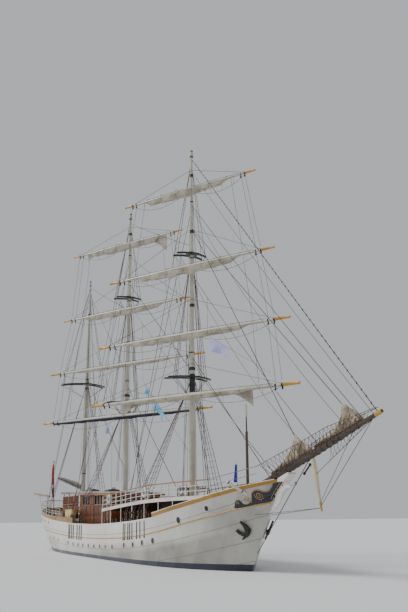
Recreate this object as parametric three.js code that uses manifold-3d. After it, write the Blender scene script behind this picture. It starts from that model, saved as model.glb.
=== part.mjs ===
// Three-masted sailing ship with yards on two masts, as a model at half the size of the ship.
//
// Axes: +X to the bow, +Y to port, +Z up. The origin is the middle of the waterline, so Z = 0 is
// the water. Every size in this file is given in metres on the full-size ship, and M turns it
// into the millimetres of the half-size model.

import * as THREE from 'three';
import { mergeVertices } from 'three/addons/utils/BufferGeometryUtils.js';
import Module from 'manifold-3d';

const wasm = await Module();
wasm.setup();

const M = 500;                 // model millimetres in one metre of the ship
const GAP = 0.0007;            // space between two pieces that touch, 0.35 mm in the model
const RUN = 0.0011;            // running space of a piece that turns, 0.55 mm in the model

// Driving dimensions of the hull
const HALF_BEAM = 3.5;
const KEEL_Z = -3.4;
const KEEL_HALF = 0.13;        // half the width of the flat bar keel
const RAIL_WIDTH = 0.18;       // width of the flat top of the plating
const BAND_THICK = 0.08;       // raised wooden bulwark, painted ochre
const DECK_THICK = 0.06;

// Masts: x of the axis, top of the lower mast, top of the topmast, radius at deck, cap and truck
const MASTS = {
  fore: { x: 13.3, head: 14.1, truck: 32.2, foot: 0.24, cap: 0.21, top: 0.09 },
  main: { x: -0.7, head: 14.1, truck: 32.0, foot: 0.24, cap: 0.21, top: 0.09 },
  mizzen: { x: -13.2, head: 17.6, truck: 28.7, foot: 0.22, cap: 0.17, top: 0.08 },
};
const MAST_SIDES = 24;

// Yards: height, half length, radius in the middle, then the furled sail's belly and its span
const BRACE = -Math.PI / 3;    // braced sharp up, port yardarms forward
const TRUSS = 0.75;            // yard's axis ahead of the mast's axis
const YARDS = [
  // mast, level, height, half length, radius, sail depth in the middle, sail depth at the ends
  ['fore', 'course', 11.82, 9.29, 0.19, 0.30, 0.16],
  ['fore', 'topsail', 16.5, 8.77, 0.17, 0.32, 0.14],
  ['fore', 'topgallant', 21.87, 7.73, 0.15, 0.42, 0.13],
  ['fore', 'royal', 28.36, 6.34, 0.13, 0.44, 0.12],
  ['main', 'course', 11.99, 9.79, 0.19, 0.30, 0.16],
  ['main', 'topsail', 16.72, 9.09, 0.17, 0.16, 0.12],
  ['main', 'topgallant', 21.97, 7.68, 0.15, 0.38, 0.13],
  ['main', 'royal', 28.53, 6.79, 0.13, 0.46, 0.12],
];

// Bowsprit and what hangs from it
const SPRIT = { heel: [22.6, 4.88], tip: [34.66, 8.08], taper: 28.6, thick: 0.22,
  thin: 0.11 };
const STRIKER = { x: 28.65, foot: [29.24, 3.47], thick: 0.15, thin: 0.05 };

// Deckhouse aft: a closed room, with its roof carried on posts behind it
const HOUSE = { aft: -6.8, fore: 2.2, half: 2.25, wall: 0.08, roofAft: -12.6, roofFore: 2.5,
  roofHalf: 2.45, roofThick: 0.12 };
const WINDOW = { low: 1.72, high: 2.48 };        // above the quarterdeck

// Raised walk over the waist
const WALK = { aft: 3.1, fore: 20.3, thick: 0.14, rail: 1.0 };

const COLOURS = {
  white: 0xe9e7e1, ochre: 0xb8842c, cream: 0xd9d3bf, wood: 0x8a5a2b, teak: 0x9a8468,
  black: 0x1d1c1c, canvas: 0xcdc8b8, jib: 0x8d7556, brown: 0x3d2a1f, roof: 0xd6dbe2,
  wire: 0x55514c, bronze: 0x9a6b33, flag: 0xb01f2e,
};

// Helpers for shapes

const vec = (x, y, z) => new THREE.Vector3(x * M, y * M, z * M);

// Value from a table of [x, value] rows, smooth between the rows.
function along(table, x) {
  const last = table.length - 1;
  if (x <= table[0][0]) return table[0][1];
  if (x >= table[last][0]) return table[last][1];
  const i = table.findIndex((row) => row[0] > x) - 1;
  const slope = (k) => {
    const a = table[Math.max(k - 1, 0)];
    const b = table[Math.min(k + 1, last)];
    return (b[1] - a[1]) / (b[0] - a[0]);
  };
  const [x0, v0] = table[i];
  const [x1, v1] = table[i + 1];
  const h = x1 - x0;
  const t = (x - x0) / h;
  return v0 * (1 + 2 * t) * (1 - t) ** 2 + slope(i) * h * t * (1 - t) ** 2
    + v1 * t * t * (3 - 2 * t) + slope(i + 1) * h * t * t * (t - 1);
}

// Value from a table of [x, value] rows, straight between the rows and beyond the last ones.
function linear(table, x) {
  const next = table.findIndex((row) => row[0] > x);
  const i = next < 0 ? table.length - 1 : Math.max(next, 1);
  const [[x0, v0], [x1, v1]] = [table[i - 1], table[i]];
  return v0 + (v1 - v0) * (x - x0) / (x1 - x0);
}

// Closed skin over rings that all have the same number of points, with flat or fanned ends.
function loft(rings) {
  const n = rings[0].length;
  const positions = [];
  const push = (...points) => points.forEach((p) => positions.push(p.x, p.y, p.z));
  for (let k = 0; k + 1 < rings.length; k += 1) {
    for (let i = 0; i < n; i += 1) {
      const j = (i + 1) % n;
      const [a, b, c, d] = [rings[k][i], rings[k][j], rings[k + 1][j], rings[k + 1][i]];
      push(a, b, c, a, c, d);
    }
  }
  const lid = (ring, turn) => {
    for (let i = 1; 2 * i <= n; i += 1) {
      const [a, b, c, d] = [ring[i - 1], ring[i], ring[n - i], ring[(n - i + 1) % n]];
      if (i > 1) push(...(turn ? [a, d, c] : [a, c, d]));
      if (b !== c) push(...(turn ? [a, c, b] : [a, b, c]));
    }
  };
  lid(rings[0], true);
  lid(rings[rings.length - 1], false);
  const geometry = new THREE.BufferGeometry();
  geometry.setAttribute('position', new THREE.Float32BufferAttribute(positions, 3));
  return geometry;
}

function solid(geometry) {
  const bare = geometry.clone();
  bare.deleteAttribute('normal');
  bare.deleteAttribute('uv');
  const merged = mergeVertices(bare, 1e-3);
  return new wasm.Manifold(new wasm.Mesh({
    numProp: 3,
    vertProperties: new Float32Array(merged.attributes.position.array),
    triVerts: new Uint32Array(merged.index.array),
  }));
}

function geometryOf(manifold) {
  const mesh = manifold.getMesh();
  const geometry = new THREE.BufferGeometry();
  geometry.setAttribute('position', new THREE.BufferAttribute(mesh.vertProperties, 3));
  geometry.setIndex(new THREE.BufferAttribute(mesh.triVerts, 1));
  geometry.computeVertexNormals();
  return geometry;
}

const join = (...geometries) => geometryOf(geometries.map(solid).reduce((a, b) => a.add(b)));
const cut = (geometry, ...tools) => geometryOf(
  tools.map(solid).reduce((a, b) => a.subtract(b), solid(geometry)));

function box(x0, x1, y0, y1, z0, z1) {
  const geometry = new THREE.BoxGeometry((x1 - x0) * M, (y1 - y0) * M, (z1 - z0) * M);
  return geometry.translate((x0 + x1) / 2 * M, (y0 + y1) / 2 * M, (z0 + z1) / 2 * M);
}

// Round spar from one point to another, with an edge of its skin on top. Each row of the profile
// is [share of length, radius].
function spar(from, to, profile, sides = 12) {
  const a = vec(...from);
  const b = vec(...to);
  const length = a.distanceTo(b);
  const points = profile.map(([t, r]) => new THREE.Vector2(r * M, t * length));
  points.unshift(new THREE.Vector2(0, profile[0][0] * length));
  points.push(new THREE.Vector2(0, profile[profile.length - 1][0] * length));
  const direction = b.sub(a).normalize();
  const across = new THREE.Vector3().crossVectors(direction, new THREE.Vector3(0, 0, 1));
  if (across.length() < 0.001) across.set(1, 0, 0);
  across.normalize();
  const up = new THREE.Vector3().crossVectors(across, direction);
  const turn = new THREE.Matrix4().makeBasis(across, direction, up).setPosition(a);
  return new THREE.LatheGeometry(points, sides).applyMatrix4(turn);
}

const rod = (from, to, radius, sides = 6) => spar(from, to, [[0, radius], [1, radius]], sides);

const rect = (a0, a1, b0, b1) => [[a0, b0], [a1, b0], [a1, b1], [a0, b1]];

// Square bar that follows a list of [x, y, z] points, with its sides upright.
function bar(points, width, height) {
  const rings = points.map(([x, y, z], i) => {
    const a = points[Math.max(i - 1, 0)];
    const b = points[Math.min(i + 1, points.length - 1)];
    const length = Math.hypot(b[0] - a[0], b[1] - a[1]);
    const [nx, ny] = [-(b[1] - a[1]) / length * width / 2, (b[0] - a[0]) / length * width / 2];
    return [vec(x - nx, y - ny, z - height / 2), vec(x + nx, y + ny, z - height / 2),
      vec(x + nx, y + ny, z + height / 2), vec(x - nx, y - ny, z + height / 2)];
  });
  return loft(rings);
}

// Plate cut from an outline of [a, b] points: 'z' lies flat, 'y' stands fore and aft,
// 'x' stands athwartships.
function plate(outline, normal, from, to) {
  const shape = new THREE.Shape(outline.map(([a, b]) => new THREE.Vector2(a * M, b * M)));
  const geometry = new THREE.ExtrudeGeometry(shape, { depth: (to - from) * M, bevelEnabled: false });
  if (normal === 'y') geometry.rotateX(Math.PI / 2).translate(0, to * M, 0);
  else if (normal === 'x') {
    geometry.rotateX(Math.PI / 2).rotateZ(Math.PI / 2).translate(from * M, 0, 0);
  } else geometry.translate(0, 0, from * M);
  return geometry;
}

const ship = new THREE.Group();

function add(name, geometry, colour, roughness = 0.6, metalness = 0, parent = ship) {
  const material = new THREE.MeshStandardMaterial({ color: COLOURS[colour], roughness, metalness });
  const mesh = new THREE.Mesh(geometry, material);
  mesh.name = name;
  parent.add(mesh);
  return mesh;
}

// Hull: waterlines stacked from the keel to the top of the plating

// Top of the plating at each x
const SHEER = [[-24.4, 3.95], [-18, 3.38], [-12.8, 3.04], [-5, 2.72], [3, 2.70], [9.8, 2.95],
  [13.7, 3.20], [16.5, 3.60], [19.5, 4.07], [22.8, 4.70], [25.4, 5.14]];
const sheer = (x) => along(SHEER, x);

// Stations as shares of the length forward and aft of the middle
const FORE_SHARES = [0, 0.105, 0.25, 0.4, 0.54, 0.65, 0.745, 0.823, 0.9, 0.965, 1];
const AFT_SHARES = [0.2, 0.38, 0.55, 0.7, 0.82, 0.9, 0.955, 0.988, 1];

// Each level: height or share of the sheer, half breadth, ends, fullness forward, fullness and
// roundness aft
const LEVELS = [
  { z: -2.9, half: 0.13, fore: 19.0, aft: -19.2, full: 9, run: 9, round: 1 },
  { z: -2.75, half: 1.1, fore: 19.6, aft: -19.3, full: 3.0, run: 1.9, round: 1 },
  { z: -2.2, half: 2.6, fore: 20.4, aft: -19.6, full: 3.2, run: 2.1, round: 1 },
  { z: -1.2, half: 3.3, fore: 21.0, aft: -20.2, full: 4.2, run: 2.5, round: 1 },
  { z: 0, half: 3.46, fore: 21.64, aft: -21.7, full: 5.2, run: 3.2, round: 1 },
  { share: 0.42, half: HALF_BEAM, fore: 22.95, aft: -23.3, full: 5.2, run: 3.4, round: 0.7 },
  { share: 0.75, half: HALF_BEAM, fore: 24.3, aft: -24.1, full: 5.2, run: 3.5, round: 0.55 },
  { share: 1, half: HALF_BEAM, fore: 25.4, aft: -24.4, full: 5.2, run: 3.6, round: 0.5 },
];
const TOP = LEVELS[LEVELS.length - 1];
const INSIDE = { ...TOP, half: TOP.half - RAIL_WIDTH, fore: TOP.fore - 0.55, aft: TOP.aft + 0.22 };

const breadth = (level, x) => {
  if (x >= 0) return level.half * (1 - (x / level.fore) ** level.full);
  return level.half * Math.max(1 - (x / level.aft) ** level.run, 0) ** level.round;
};
const sideStations = (level) => [...AFT_SHARES.map((s) => s * level.aft).reverse(),
  ...FORE_SHARES.map((s) => s * level.fore)];
const heightAt = (level, x) => (level.share ? level.share * sheer(x) : level.z);

// One closed ring round the ship: from the stem down the port side to the stern and back.
function ring(level, height) {
  const xs = sideStations(level);
  const port = xs.map((x) => [x, breadth(level, x)]).reverse();
  const back = port.slice(1, -1).reverse().map(([x, y]) => [x, -y]);
  return [...port, ...back].map(([x, y]) => vec(x, y, height(x)));
}

// Decks below the top of the plating: quarterdeck, waist and forecastle. Their height is
// straight between the stations, as their planking is.
const WAIST_DEPTH = 0.88;
const QUARTER_DEPTH = 0.16;
const FORECASTLE_Z = 4.1;
const DECK_XS = sideStations(INSIDE);
const TOP_XS = sideStations(TOP);
const QUARTER_END = FORE_SHARES[1] * INSIDE.fore;
const FORECASTLE_START = FORE_SHARES[7] * INSIDE.fore;
const WAIST_XS = DECK_XS.filter((x) => x >= QUARTER_END && x <= FORECASTLE_START);

const straight = (xs, height, x) => linear(xs.map((v) => [v, height(v)]), x);
const railZ = (x) => straight(TOP_XS, sheer, x);
const quarterZ = (x) => straight(DECK_XS, sheer, x) - QUARTER_DEPTH;
const waistZ = (x) => straight(DECK_XS, sheer, x) - WAIST_DEPTH;
function deckZ(x) {
  const bare = x < QUARTER_END ? quarterZ(x) : x < FORECASTLE_START ? waistZ(x) : FORECASTLE_Z;
  return bare + GAP + DECK_THICK;
}
const onto = (height, x, reach) => Math.max(height(x - reach), height(x + reach)) + GAP;

const SOLE = { top: -3.16, aft: -21.7 };       // keel's tail that carries the rudder's heel
const SCREW = { x: -19.75, z: -2.05, radius: 0.82 };
const RUDDER = { post: -20.62, aft: -21.95, low: -3.12, high: -0.62, thick: 0.14, stock: 0.11 };
const ARCH = { fore: -19.3, top: -0.5 };

// Space that the bowsprit takes where it lies in the top of the stem
const spritCut = rod([SPRIT.heel[0], 0, SPRIT.heel[1]], [SPRIT.tip[0], 0, SPRIT.tip[1]],
  SPRIT.thick + 0.004, 16);

function hull() {
  const rings = LEVELS.map((level) => ring(level, (x) => heightAt(level, x)));
  const wellFloor = (x) => (x < FORECASTLE_START ? quarterZ(x) : FORECASTLE_Z);
  const well = [ring(INSIDE, wellFloor), ring(INSIDE, (x) => sheer(x) + 0.5)];
  const waist = [];
  for (const z of [-WAIST_DEPTH, 0.4]) {
    const port = WAIST_XS.map((x) => [x, breadth(INSIDE, x)]).reverse();
    const starboard = [...port].reverse().map(([x, y]) => [x, -y]);
    waist.push([...port, ...starboard].map(([x, y]) => vec(x, y, sheer(x) + z)));
  }
  const keel = plate([[17.5, KEEL_Z], [19.6, -2.85], [-18.9, -2.85], [-19.5, SOLE.top],
    [SOLE.aft, SOLE.top], [SOLE.aft, KEEL_Z]], 'y', -KEEL_HALF, KEEL_HALF);
  const boss = rod([-18.2, 0, SCREW.z], [ARCH.fore, 0, SCREW.z], 0.2, 12);
  const arch = box(-24, ARCH.fore, -3, 3, -3.15, ARCH.top);
  const stock = rod([RUDDER.post - 0.05, 0, -1], [RUDDER.post - 0.05, 0, 0.2],
    RUDDER.stock + RUN * 4, 16);
  const body = [loft(rings), boss].map(solid).reduce((a, b) => a.add(b))
    .subtract(solid(arch)).subtract(solid(loft(well))).subtract(solid(loft(waist)))
    .add(solid(keel)).subtract(solid(stock)).subtract(solid(spritCut));
  return geometryOf(body);
}
const hullShape = hull();
add('hull', hullShape, 'white', 0.45);

// Deck planking on three levels, joined by the boarded breaks between them
function decks() {
  const margin = 0.01;
  const slab = (xs, height) => {
    const port = xs.map((x) => [x, Math.max(breadth(INSIDE, x) - margin, margin)]).reverse();
    const starboard = [...port].reverse().map(([x, y]) => [x, -y]);
    return loft([GAP, GAP + DECK_THICK].map((rise) => [...port, ...starboard]
      .map(([x, y]) => vec(x, y, height(x) + rise))));
  };
  const breakAt = (x0, x1, high) => {
    const half = Math.min(breadth(INSIDE, x0), breadth(INSIDE, x1)) - 2 * margin;
    const low = Math.max(sheer(x0), sheer(x1)) - WAIST_DEPTH + margin;
    return box(x0, x1, -half, half, low, high + DECK_THICK - margin);
  };
  const [low, high] = [QUARTER_END + GAP, FORECASTLE_START - GAP];
  const inside = (x0, x1) => DECK_XS.filter((x) => x > x0 && x < x1);
  const quarter = slab([...inside(INSIDE.aft + 0.01, low - 0.1), QUARTER_END, low + DECK_THICK],
    quarterZ);
  const waist = slab([low, ...inside(low, high - 0.1), high], waistZ);
  const forecastle = slab([high - DECK_THICK, FORECASTLE_START,
    ...inside(high + 0.1, INSIDE.fore - 0.01)], () => FORECASTLE_Z);
  const nip = 0.005;
  return join(quarter, waist, forecastle,
    breakAt(low + nip, low + DECK_THICK - nip, quarterZ(low + DECK_THICK)),
    breakAt(high - DECK_THICK + nip, high - nip, FORECASTLE_Z));
}
add('deck', decks(), 'teak', 0.8);

// Raised bulwark on the plating: forward round the stem, and aft round the stern
const BAND_FORE = [[13.5, 0.27], [19.5, 0.26], [25.4, 0.19]];
const BAND_AFT = [[-24.4, 0.36], [-12.8, 0.34], [-4.8, 0.46]];

function band(xs, table) {
  const share = BAND_THICK / RAIL_WIDTH;
  const side = xs.map((x) => {
    const end = x > 0 ? x / TOP.fore : -x / -TOP.aft;
    const inX = x > 0 ? end * INSIDE.fore : -end * -INSIDE.aft;
    const outer = [x, breadth(TOP, x), sheer(x)];
    const inner = [inX, breadth(INSIDE, inX), sheer(inX)];
    const mid = outer.map((v, i) => v + (inner[i] - v) * share);
    mid[2] = railZ(mid[0]) + 0.012;
    return { outer, mid, rise: along(table, x) };
  });
  const place = ({ outer, mid, rise }, sign) => [
    vec(outer[0], sign * outer[1], outer[2] + GAP), vec(outer[0], sign * outer[1], outer[2] + rise),
    vec(mid[0], sign * mid[1], outer[2] + rise), vec(mid[0], sign * mid[1], mid[2] + GAP)];
  const port = side.slice(0, -1).map((s) => place(s, 1));
  const tip = place(side[side.length - 1], 1);
  const starboard = side.slice(0, -1).reverse().map((s) => place(s, -1));
  const sections = [...port, tip, ...starboard];
  return loft(xs[0] > 0 ? sections : sections.map((s) => [...s].reverse()));
}
const foreXs = FORE_SHARES.slice(4).map((s) => s * TOP.fore);
const aftXs = AFT_SHARES.map((s) => s * TOP.aft);
for (const [name, side] of [['bulwark_fore_port', 1], ['bulwark_fore_starboard', -1]]) {
  const otherSide = side > 0 ? box(0, 30, -5, 0.01, 0, 8) : box(0, 30, -0.01, 5, 0, 8);
  add(name, cut(band(foreXs, BAND_FORE), spritCut, otherSide), 'ochre', 0.5);
}
add('bulwark_aft', band(aftXs, BAND_AFT), 'ochre', 0.5);

// Raised walk over the waist, on posts from the plating's top
const walkZ = (x) => along([[3.1, 3.84], [9.7, 4.23], [13.1, 4.37], [20.3, 4.47]], x);
const inward = (x, share) => breadth(TOP, x) + (breadth(INSIDE, x) - breadth(TOP, x)) * share;
const walkHalf = (x) => inward(x, 0.5) - 0.01;
const WALK_XS = [WALK.aft, 5.2, 7.5, 9.8, 12.1, 14.4, 16.4, 18.4, WALK.fore];
const walkTop = (x) => straight(WALK_XS, walkZ, x);

function walk() {
  const section = (x) => {
    const [half, z] = [walkHalf(x), walkZ(x)];
    return [vec(x, -half, z - WALK.thick), vec(x, half, z - WALK.thick), vec(x, half, z),
      vec(x, -half, z)];
  };
  const foremast = MASTS.fore;
  const slab = cut(loft(WALK_XS.map(section)),
    rod([foremast.x, 0, 3], [foremast.x, 0, 6], foremast.foot + 0.02, MAST_SIDES));
  const posts = WALK_XS.slice(0, -1).flatMap((x) => [-1, 1].map((side) => {
    const y = side * inward(x + 0.06, 0.76);
    return rod([x + 0.06, y, onto(railZ, x + 0.06, 0.04)], [x + 0.06, y, walkZ(x) - 0.02], 0.035, 6);
  }));
  return join(slab, ...posts);
}
add('promenade_deck', walk(), 'white', 0.5);

// Rail round the walk: posts, a wooden top rail and two bars
function walkRail() {
  const edge = (x) => walkHalf(x) - 0.07;
  const aftX = WALK.aft + 0.07;
  const xs = [aftX, ...WALK_XS.slice(1, -1), WALK.fore - 0.07];
  const run = (height, width, tall) => {
    const port = xs.map((x) => [x, edge(x), walkZ(x) + height]);
    const starboard = xs.map((x) => [x, -edge(x), walkZ(x) + height]);
    const across = [[aftX, edge(aftX), walkZ(aftX) + height],
      [aftX, -edge(aftX), walkZ(aftX) + height]];
    return [bar(port, width, tall), bar(starboard, width, tall), bar(across, width, tall)];
  };
  const posts = xs.flatMap((x) => [-1, 1].map((side) => box(x - 0.025, x + 0.025,
    side * edge(x) - 0.025, side * edge(x) + 0.025, onto(walkTop, x, 0.025),
    walkZ(x) + WALK.rail)));
  return join(...run(WALK.rail, 0.1, 0.07), ...run(0.66, 0.03, 0.03), ...run(0.34, 0.03, 0.03),
    ...posts);
}
add('promenade_rail', walkRail(), 'wood', 0.5);

// Deckhouse on the quarterdeck: four walls with their windows and doorways cut, roof on posts
const roofZ = (x) => along([[-13.4, 5.72], [2.6, 5.2]], x);
const houseFloor = (x) => deckZ(x) + GAP;
const wallTop = (x) => roofZ(x) - HOUSE.roofThick - GAP * 2;
const DOOR = { aft: 0.75, fore: 1.55, low: 0.12, high: 2.0 };
const SIDE_WINDOWS = [[-5.72, -3.5], [-2.25, 0.15]];
const END_WINDOWS = [[-1.7, -0.5], [0.5, 1.7]];
const floorZ = houseFloor(-2.5);

function sideWall(side) {
  const { aft, fore, half, wall } = HOUSE;
  const xs = [aft, ...DECK_XS.filter((x) => x > aft && x < fore), fore];
  const outline = [...xs.map((x) => [x, houseFloor(x)]), [fore, wallTop(fore)],
    [aft, wallTop(aft)]];
  const y0 = side > 0 ? half - wall : -half;
  const opening = (x0, x1, low, high) => box(x0, x1, y0 - 1, y0 + 1, floorZ + low, floorZ + high);
  return cut(plate(outline, 'y', y0, y0 + wall), opening(DOOR.aft, DOOR.fore, DOOR.low, DOOR.high),
    ...SIDE_WINDOWS.map(([x0, x1]) => opening(x0, x1, WINDOW.low, WINDOW.high)));
}

function endWall(x) {
  const inner = HOUSE.half - HOUSE.wall - GAP;
  const low = onto(houseFloor, x, HOUSE.wall);
  return cut(plate(rect(-inner, inner, low, wallTop(x + HOUSE.wall)), 'x', x, x + HOUSE.wall),
    ...END_WINDOWS.map(([y0, y1]) => box(x - 1, x + 1, y0, y1, floorZ + WINDOW.low,
      floorZ + WINDOW.high)));
}
add('deckhouse_wall_port', sideWall(1), 'wood', 0.45);
add('deckhouse_wall_starboard', sideWall(-1), 'wood', 0.45);
add('deckhouse_wall_fore', endWall(HOUSE.fore - HOUSE.wall), 'wood', 0.45);
add('deckhouse_wall_aft', endWall(HOUSE.aft), 'wood', 0.45);

function houseRoof() {
  const section = (x) => {
    const [half, z, low] = [HOUSE.roofHalf, roofZ(x), roofZ(x) - HOUSE.roofThick];
    return [vec(x, -half, low), vec(x, half, low), vec(x, half, z), vec(x, 0, z + 0.1),
      vec(x, -half, z)];
  };
  const xs = [HOUSE.roofAft, -6, 0, HOUSE.roofFore];
  const hole = rod([MASTS.main.x, 0, 4], [MASTS.main.x, 0, 7], MASTS.main.foot + 0.004, MAST_SIDES);
  const posts = [-12.4, -10.5, -8.6].flatMap((x) => [-1, 1].map((side) => box(x - 0.04, x + 0.04,
    side * 2.2 - 0.04, side * 2.2 + 0.04, onto(deckZ, x, 0.04), roofZ(x) - 0.05)));
  return join(cut(loft(xs.map(section)), hole), ...posts);
}
add('deckhouse_roof', houseRoof(), 'roof', 0.5);

// Doors on the house's sides. The pin of each stands proud of the wall, so the leaf swings clear.
const PIN = { radius: 0.022, x: DOOR.aft, y: HOUSE.half + 0.022 + GAP };
for (const [name, side] of [['door_port', 1], ['door_starboard', -1]]) {
  const face = HOUSE.half - 0.015;
  const [low, high] = [floorZ + DOOR.low + 0.012, floorZ + DOOR.high - 0.012];
  const across = (y0, y1) => (side > 0 ? [y0, y1] : [-y1, -y0]);
  const leaf = box(DOOR.aft + 0.004, DOOR.fore - 0.014, ...across(face - 0.05, face), low, high);
  const knuckles = [0.2, 0.8].flatMap((share) => {
    const z = low + (high - low) * share;
    return [rod([PIN.x, side * PIN.y, z - 0.06], [PIN.x, side * PIN.y, z + 0.06], PIN.radius, 12),
      box(PIN.x + 0.006, PIN.x + 0.12, ...across(face - 0.02, PIN.y), z - 0.05, z + 0.05)];
  });
  add(name, join(leaf, ...knuckles), 'wood', 0.45);
}

// Crosstrees: two bars with their tips swept aft, on trestles, round the mast
const TREE = { sweep: 0.25, wide: 0.16, thick: 0.12 };

const lowerProfile = (mast) => [[0, mast.foot], [0.5, mast.foot], [1, mast.cap]];
const upperProfile = (mast) => [[0, mast.cap * 0.8], [0.45, mast.cap * 0.72], [0.97, mast.top],
  [0.975, mast.top * 1.7], [1, mast.top * 1.2]];

function mastRadius(mast, z) {
  const foot = onto(deckZ, mast.x, mast.foot);
  if (z < mast.head) return linear(lowerProfile(mast), (z - foot) / (mast.head - foot));
  return linear(upperProfile(mast), (z - mast.head) / (mast.truck - mast.head));
}

function crosstree(mast, z, reach) {
  const lean = (y) => -TREE.sweep * y ** 2;
  const ys = [-1, -0.75, -0.5, -0.25, 0, 0.25, 0.5, 0.75, 1].map((s) => s * reach);
  const bow = (shift) => ys.map((y) => [mast.x + lean(y) + shift, y]);
  const curved = [0.36, -0.36].map((shift) => [...bow(shift - TREE.wide / 2),
    ...bow(shift + TREE.wide / 2).reverse()]);
  const hub = rect(mast.x - 0.5, mast.x + 0.5, -0.42, 0.42);
  const half = TREE.thick / 2;
  return join(...[...curved, hub].map((shape) => plate(shape, 'z', z - half, z + half)));
}

// Masts: a lower mast that carries its top, and a topmast that stands on the lower mast's head
const TOPS = { fore: 13.3, main: 13.3 };
const TOP_REACH = 1.77;
const UPPER_TREES = [['fore', 23.1, 1.25], ['main', 23.3, 1.25], ['mizzen', 17.0, 2.35]];
for (const [name, mast] of Object.entries(MASTS)) {
  const foot = onto(deckZ, mast.x, mast.foot);
  const lower = spar([mast.x, 0, foot], [mast.x, 0, mast.head], lowerProfile(mast), MAST_SIDES);
  const upper = spar([mast.x, 0, mast.head + GAP], [mast.x, 0, mast.truck], upperProfile(mast),
    MAST_SIDES);
  const top = TOPS[name] && crosstree(mast, TOPS[name], TOP_REACH);
  add(`${name}_mast`, top ? join(lower, top) : lower, 'cream', 0.5);
  add(`${name}_topmast`, upper, 'cream', 0.5);
}

// Upper crosstrees, each with a hole for its topmast
for (const [name, z, reach] of UPPER_TREES) {
  const mast = MASTS[name];
  const hole = rod([mast.x, 0, z - 1], [mast.x, 0, z + 1],
    mastRadius(mast, z - TREE.thick / 2) + GAP, MAST_SIDES);
  add(`${name}_crosstree`, cut(crosstree(mast, z, reach), hole), 'black', 0.5);
}

// Yards and furled sails. Each pair turns about its mast's axis.
const turns = (n) => Array.from({ length: n }, (_, i) => (i / n) * 2 * Math.PI);
const YARD_PROFILE = [[0, 0.35], [0.07, 0.55], [0.3, 0.92], [0.5, 1], [0.7, 0.92], [0.93, 0.55],
  [1, 0.35]];

function yard(mast, z, half, radius) {
  const stick = spar([TRUSS, -half, 0], [TRUSS, half, 0],
    YARD_PROFILE.map(([t, share]) => [t, share * radius]), 12);
  const arm = box(mastRadius(mast, z - 0.09) + RUN, TRUSS, -0.09, 0.09, -0.09, 0.09);
  return join(stick, arm);
}

// Furled canvas on the forward side of the yard, which it touches at the yard's own height. It
// hangs deepest in the middle.
const SAIL_SHARES = [-0.86, -0.65, -0.4, -0.2, 0, 0.2, 0.4, 0.65, 0.86];
function furledSail(half, radius, middle, end) {
  const rings = SAIL_SHARES.map((s) => {
    const belly = Math.cos(s * Math.PI / 2) ** 2;
    const depth = end + (middle - end) * belly + 0.1;
    const thick = 0.1 + 0.08 * belly;
    const edge = TRUSS + linear(YARD_PROFILE, (1 + s) / 2) * radius + GAP;
    return turns(8).map((a) => vec(edge + thick * (1 + Math.cos(a)), s * half,
      -Math.sin(a) * (Math.sin(a) > 0 ? depth : 0.12)));
  });
  return loft(rings);
}

for (const [mastName, level, z, half, radius, middle, end] of YARDS) {
  const mast = MASTS[mastName];
  const swing = new THREE.Group();
  swing.position.set(mast.x * M, 0, z * M);
  swing.rotation.z = BRACE;
  ship.add(swing);
  add(`${mastName}_${level}_yard`, yard(mast, z, half, radius), 'cream', 0.5, 0, swing);
  add(`${mastName}_${level}_sail`, furledSail(half, radius, middle, end), 'canvas', 0.9, 0, swing);
}

// Bowsprit, dolphin striker and the furled headsails
const spritTilt = Math.atan2(SPRIT.tip[1] - SPRIT.heel[1], SPRIT.tip[0] - SPRIT.heel[0]);
const spritShare = (x) => (x - SPRIT.heel[0]) / (SPRIT.tip[0] - SPRIT.heel[0]);
const SPRIT_PROFILE = [[0, SPRIT.thick], [spritShare(SPRIT.taper), SPRIT.thick],
  [0.985, SPRIT.thin], [1, SPRIT.thin * 0.7]];
add('bowsprit', spar([SPRIT.heel[0], 0, SPRIT.heel[1]], [SPRIT.tip[0], 0, SPRIT.tip[1]],
  SPRIT_PROFILE, 16), 'brown', 0.5);

// Height of the upper edge (side 1) or lower edge (side -1) of a tilted spar's skin at x
function edgeOf(from, to, profile, side) {
  const tilt = Math.atan2(to[1] - from[1], to[0] - from[0]);
  const flip = Math.cos(tilt) < 0 ? -side : side;
  const table = profile.map(([t, radius]) => [
    from[0] + (to[0] - from[0]) * t - flip * radius * Math.sin(tilt),
    from[1] + (to[1] - from[1]) * t + flip * radius * Math.cos(tilt)]);
  if (table[0][0] > table[1][0]) table.reverse();
  return (x) => linear(table, x);
}
const spritTop = edgeOf(SPRIT.heel, SPRIT.tip, SPRIT_PROFILE, 1);
const spritUnder = edgeOf(SPRIT.heel, SPRIT.tip, SPRIT_PROFILE, -1);

function striker() {
  const { x, foot, thick, thin } = STRIKER;
  const lean = Math.atan2(foot[0] - x, spritUnder(x) - foot[1]);
  const tuck = thin * (Math.tan(spritTilt) - Math.tan(lean));
  return spar([x, 0, spritUnder(x) - tuck - GAP], [foot[0], 0, foot[1]],
    [[0, thin], [0.03, thick * 0.8], [0.3, thick], [0.9, thin], [1, thin * 0.5]], 12);
}
add('dolphin_striker', striker(), 'white', 0.5);

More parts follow.
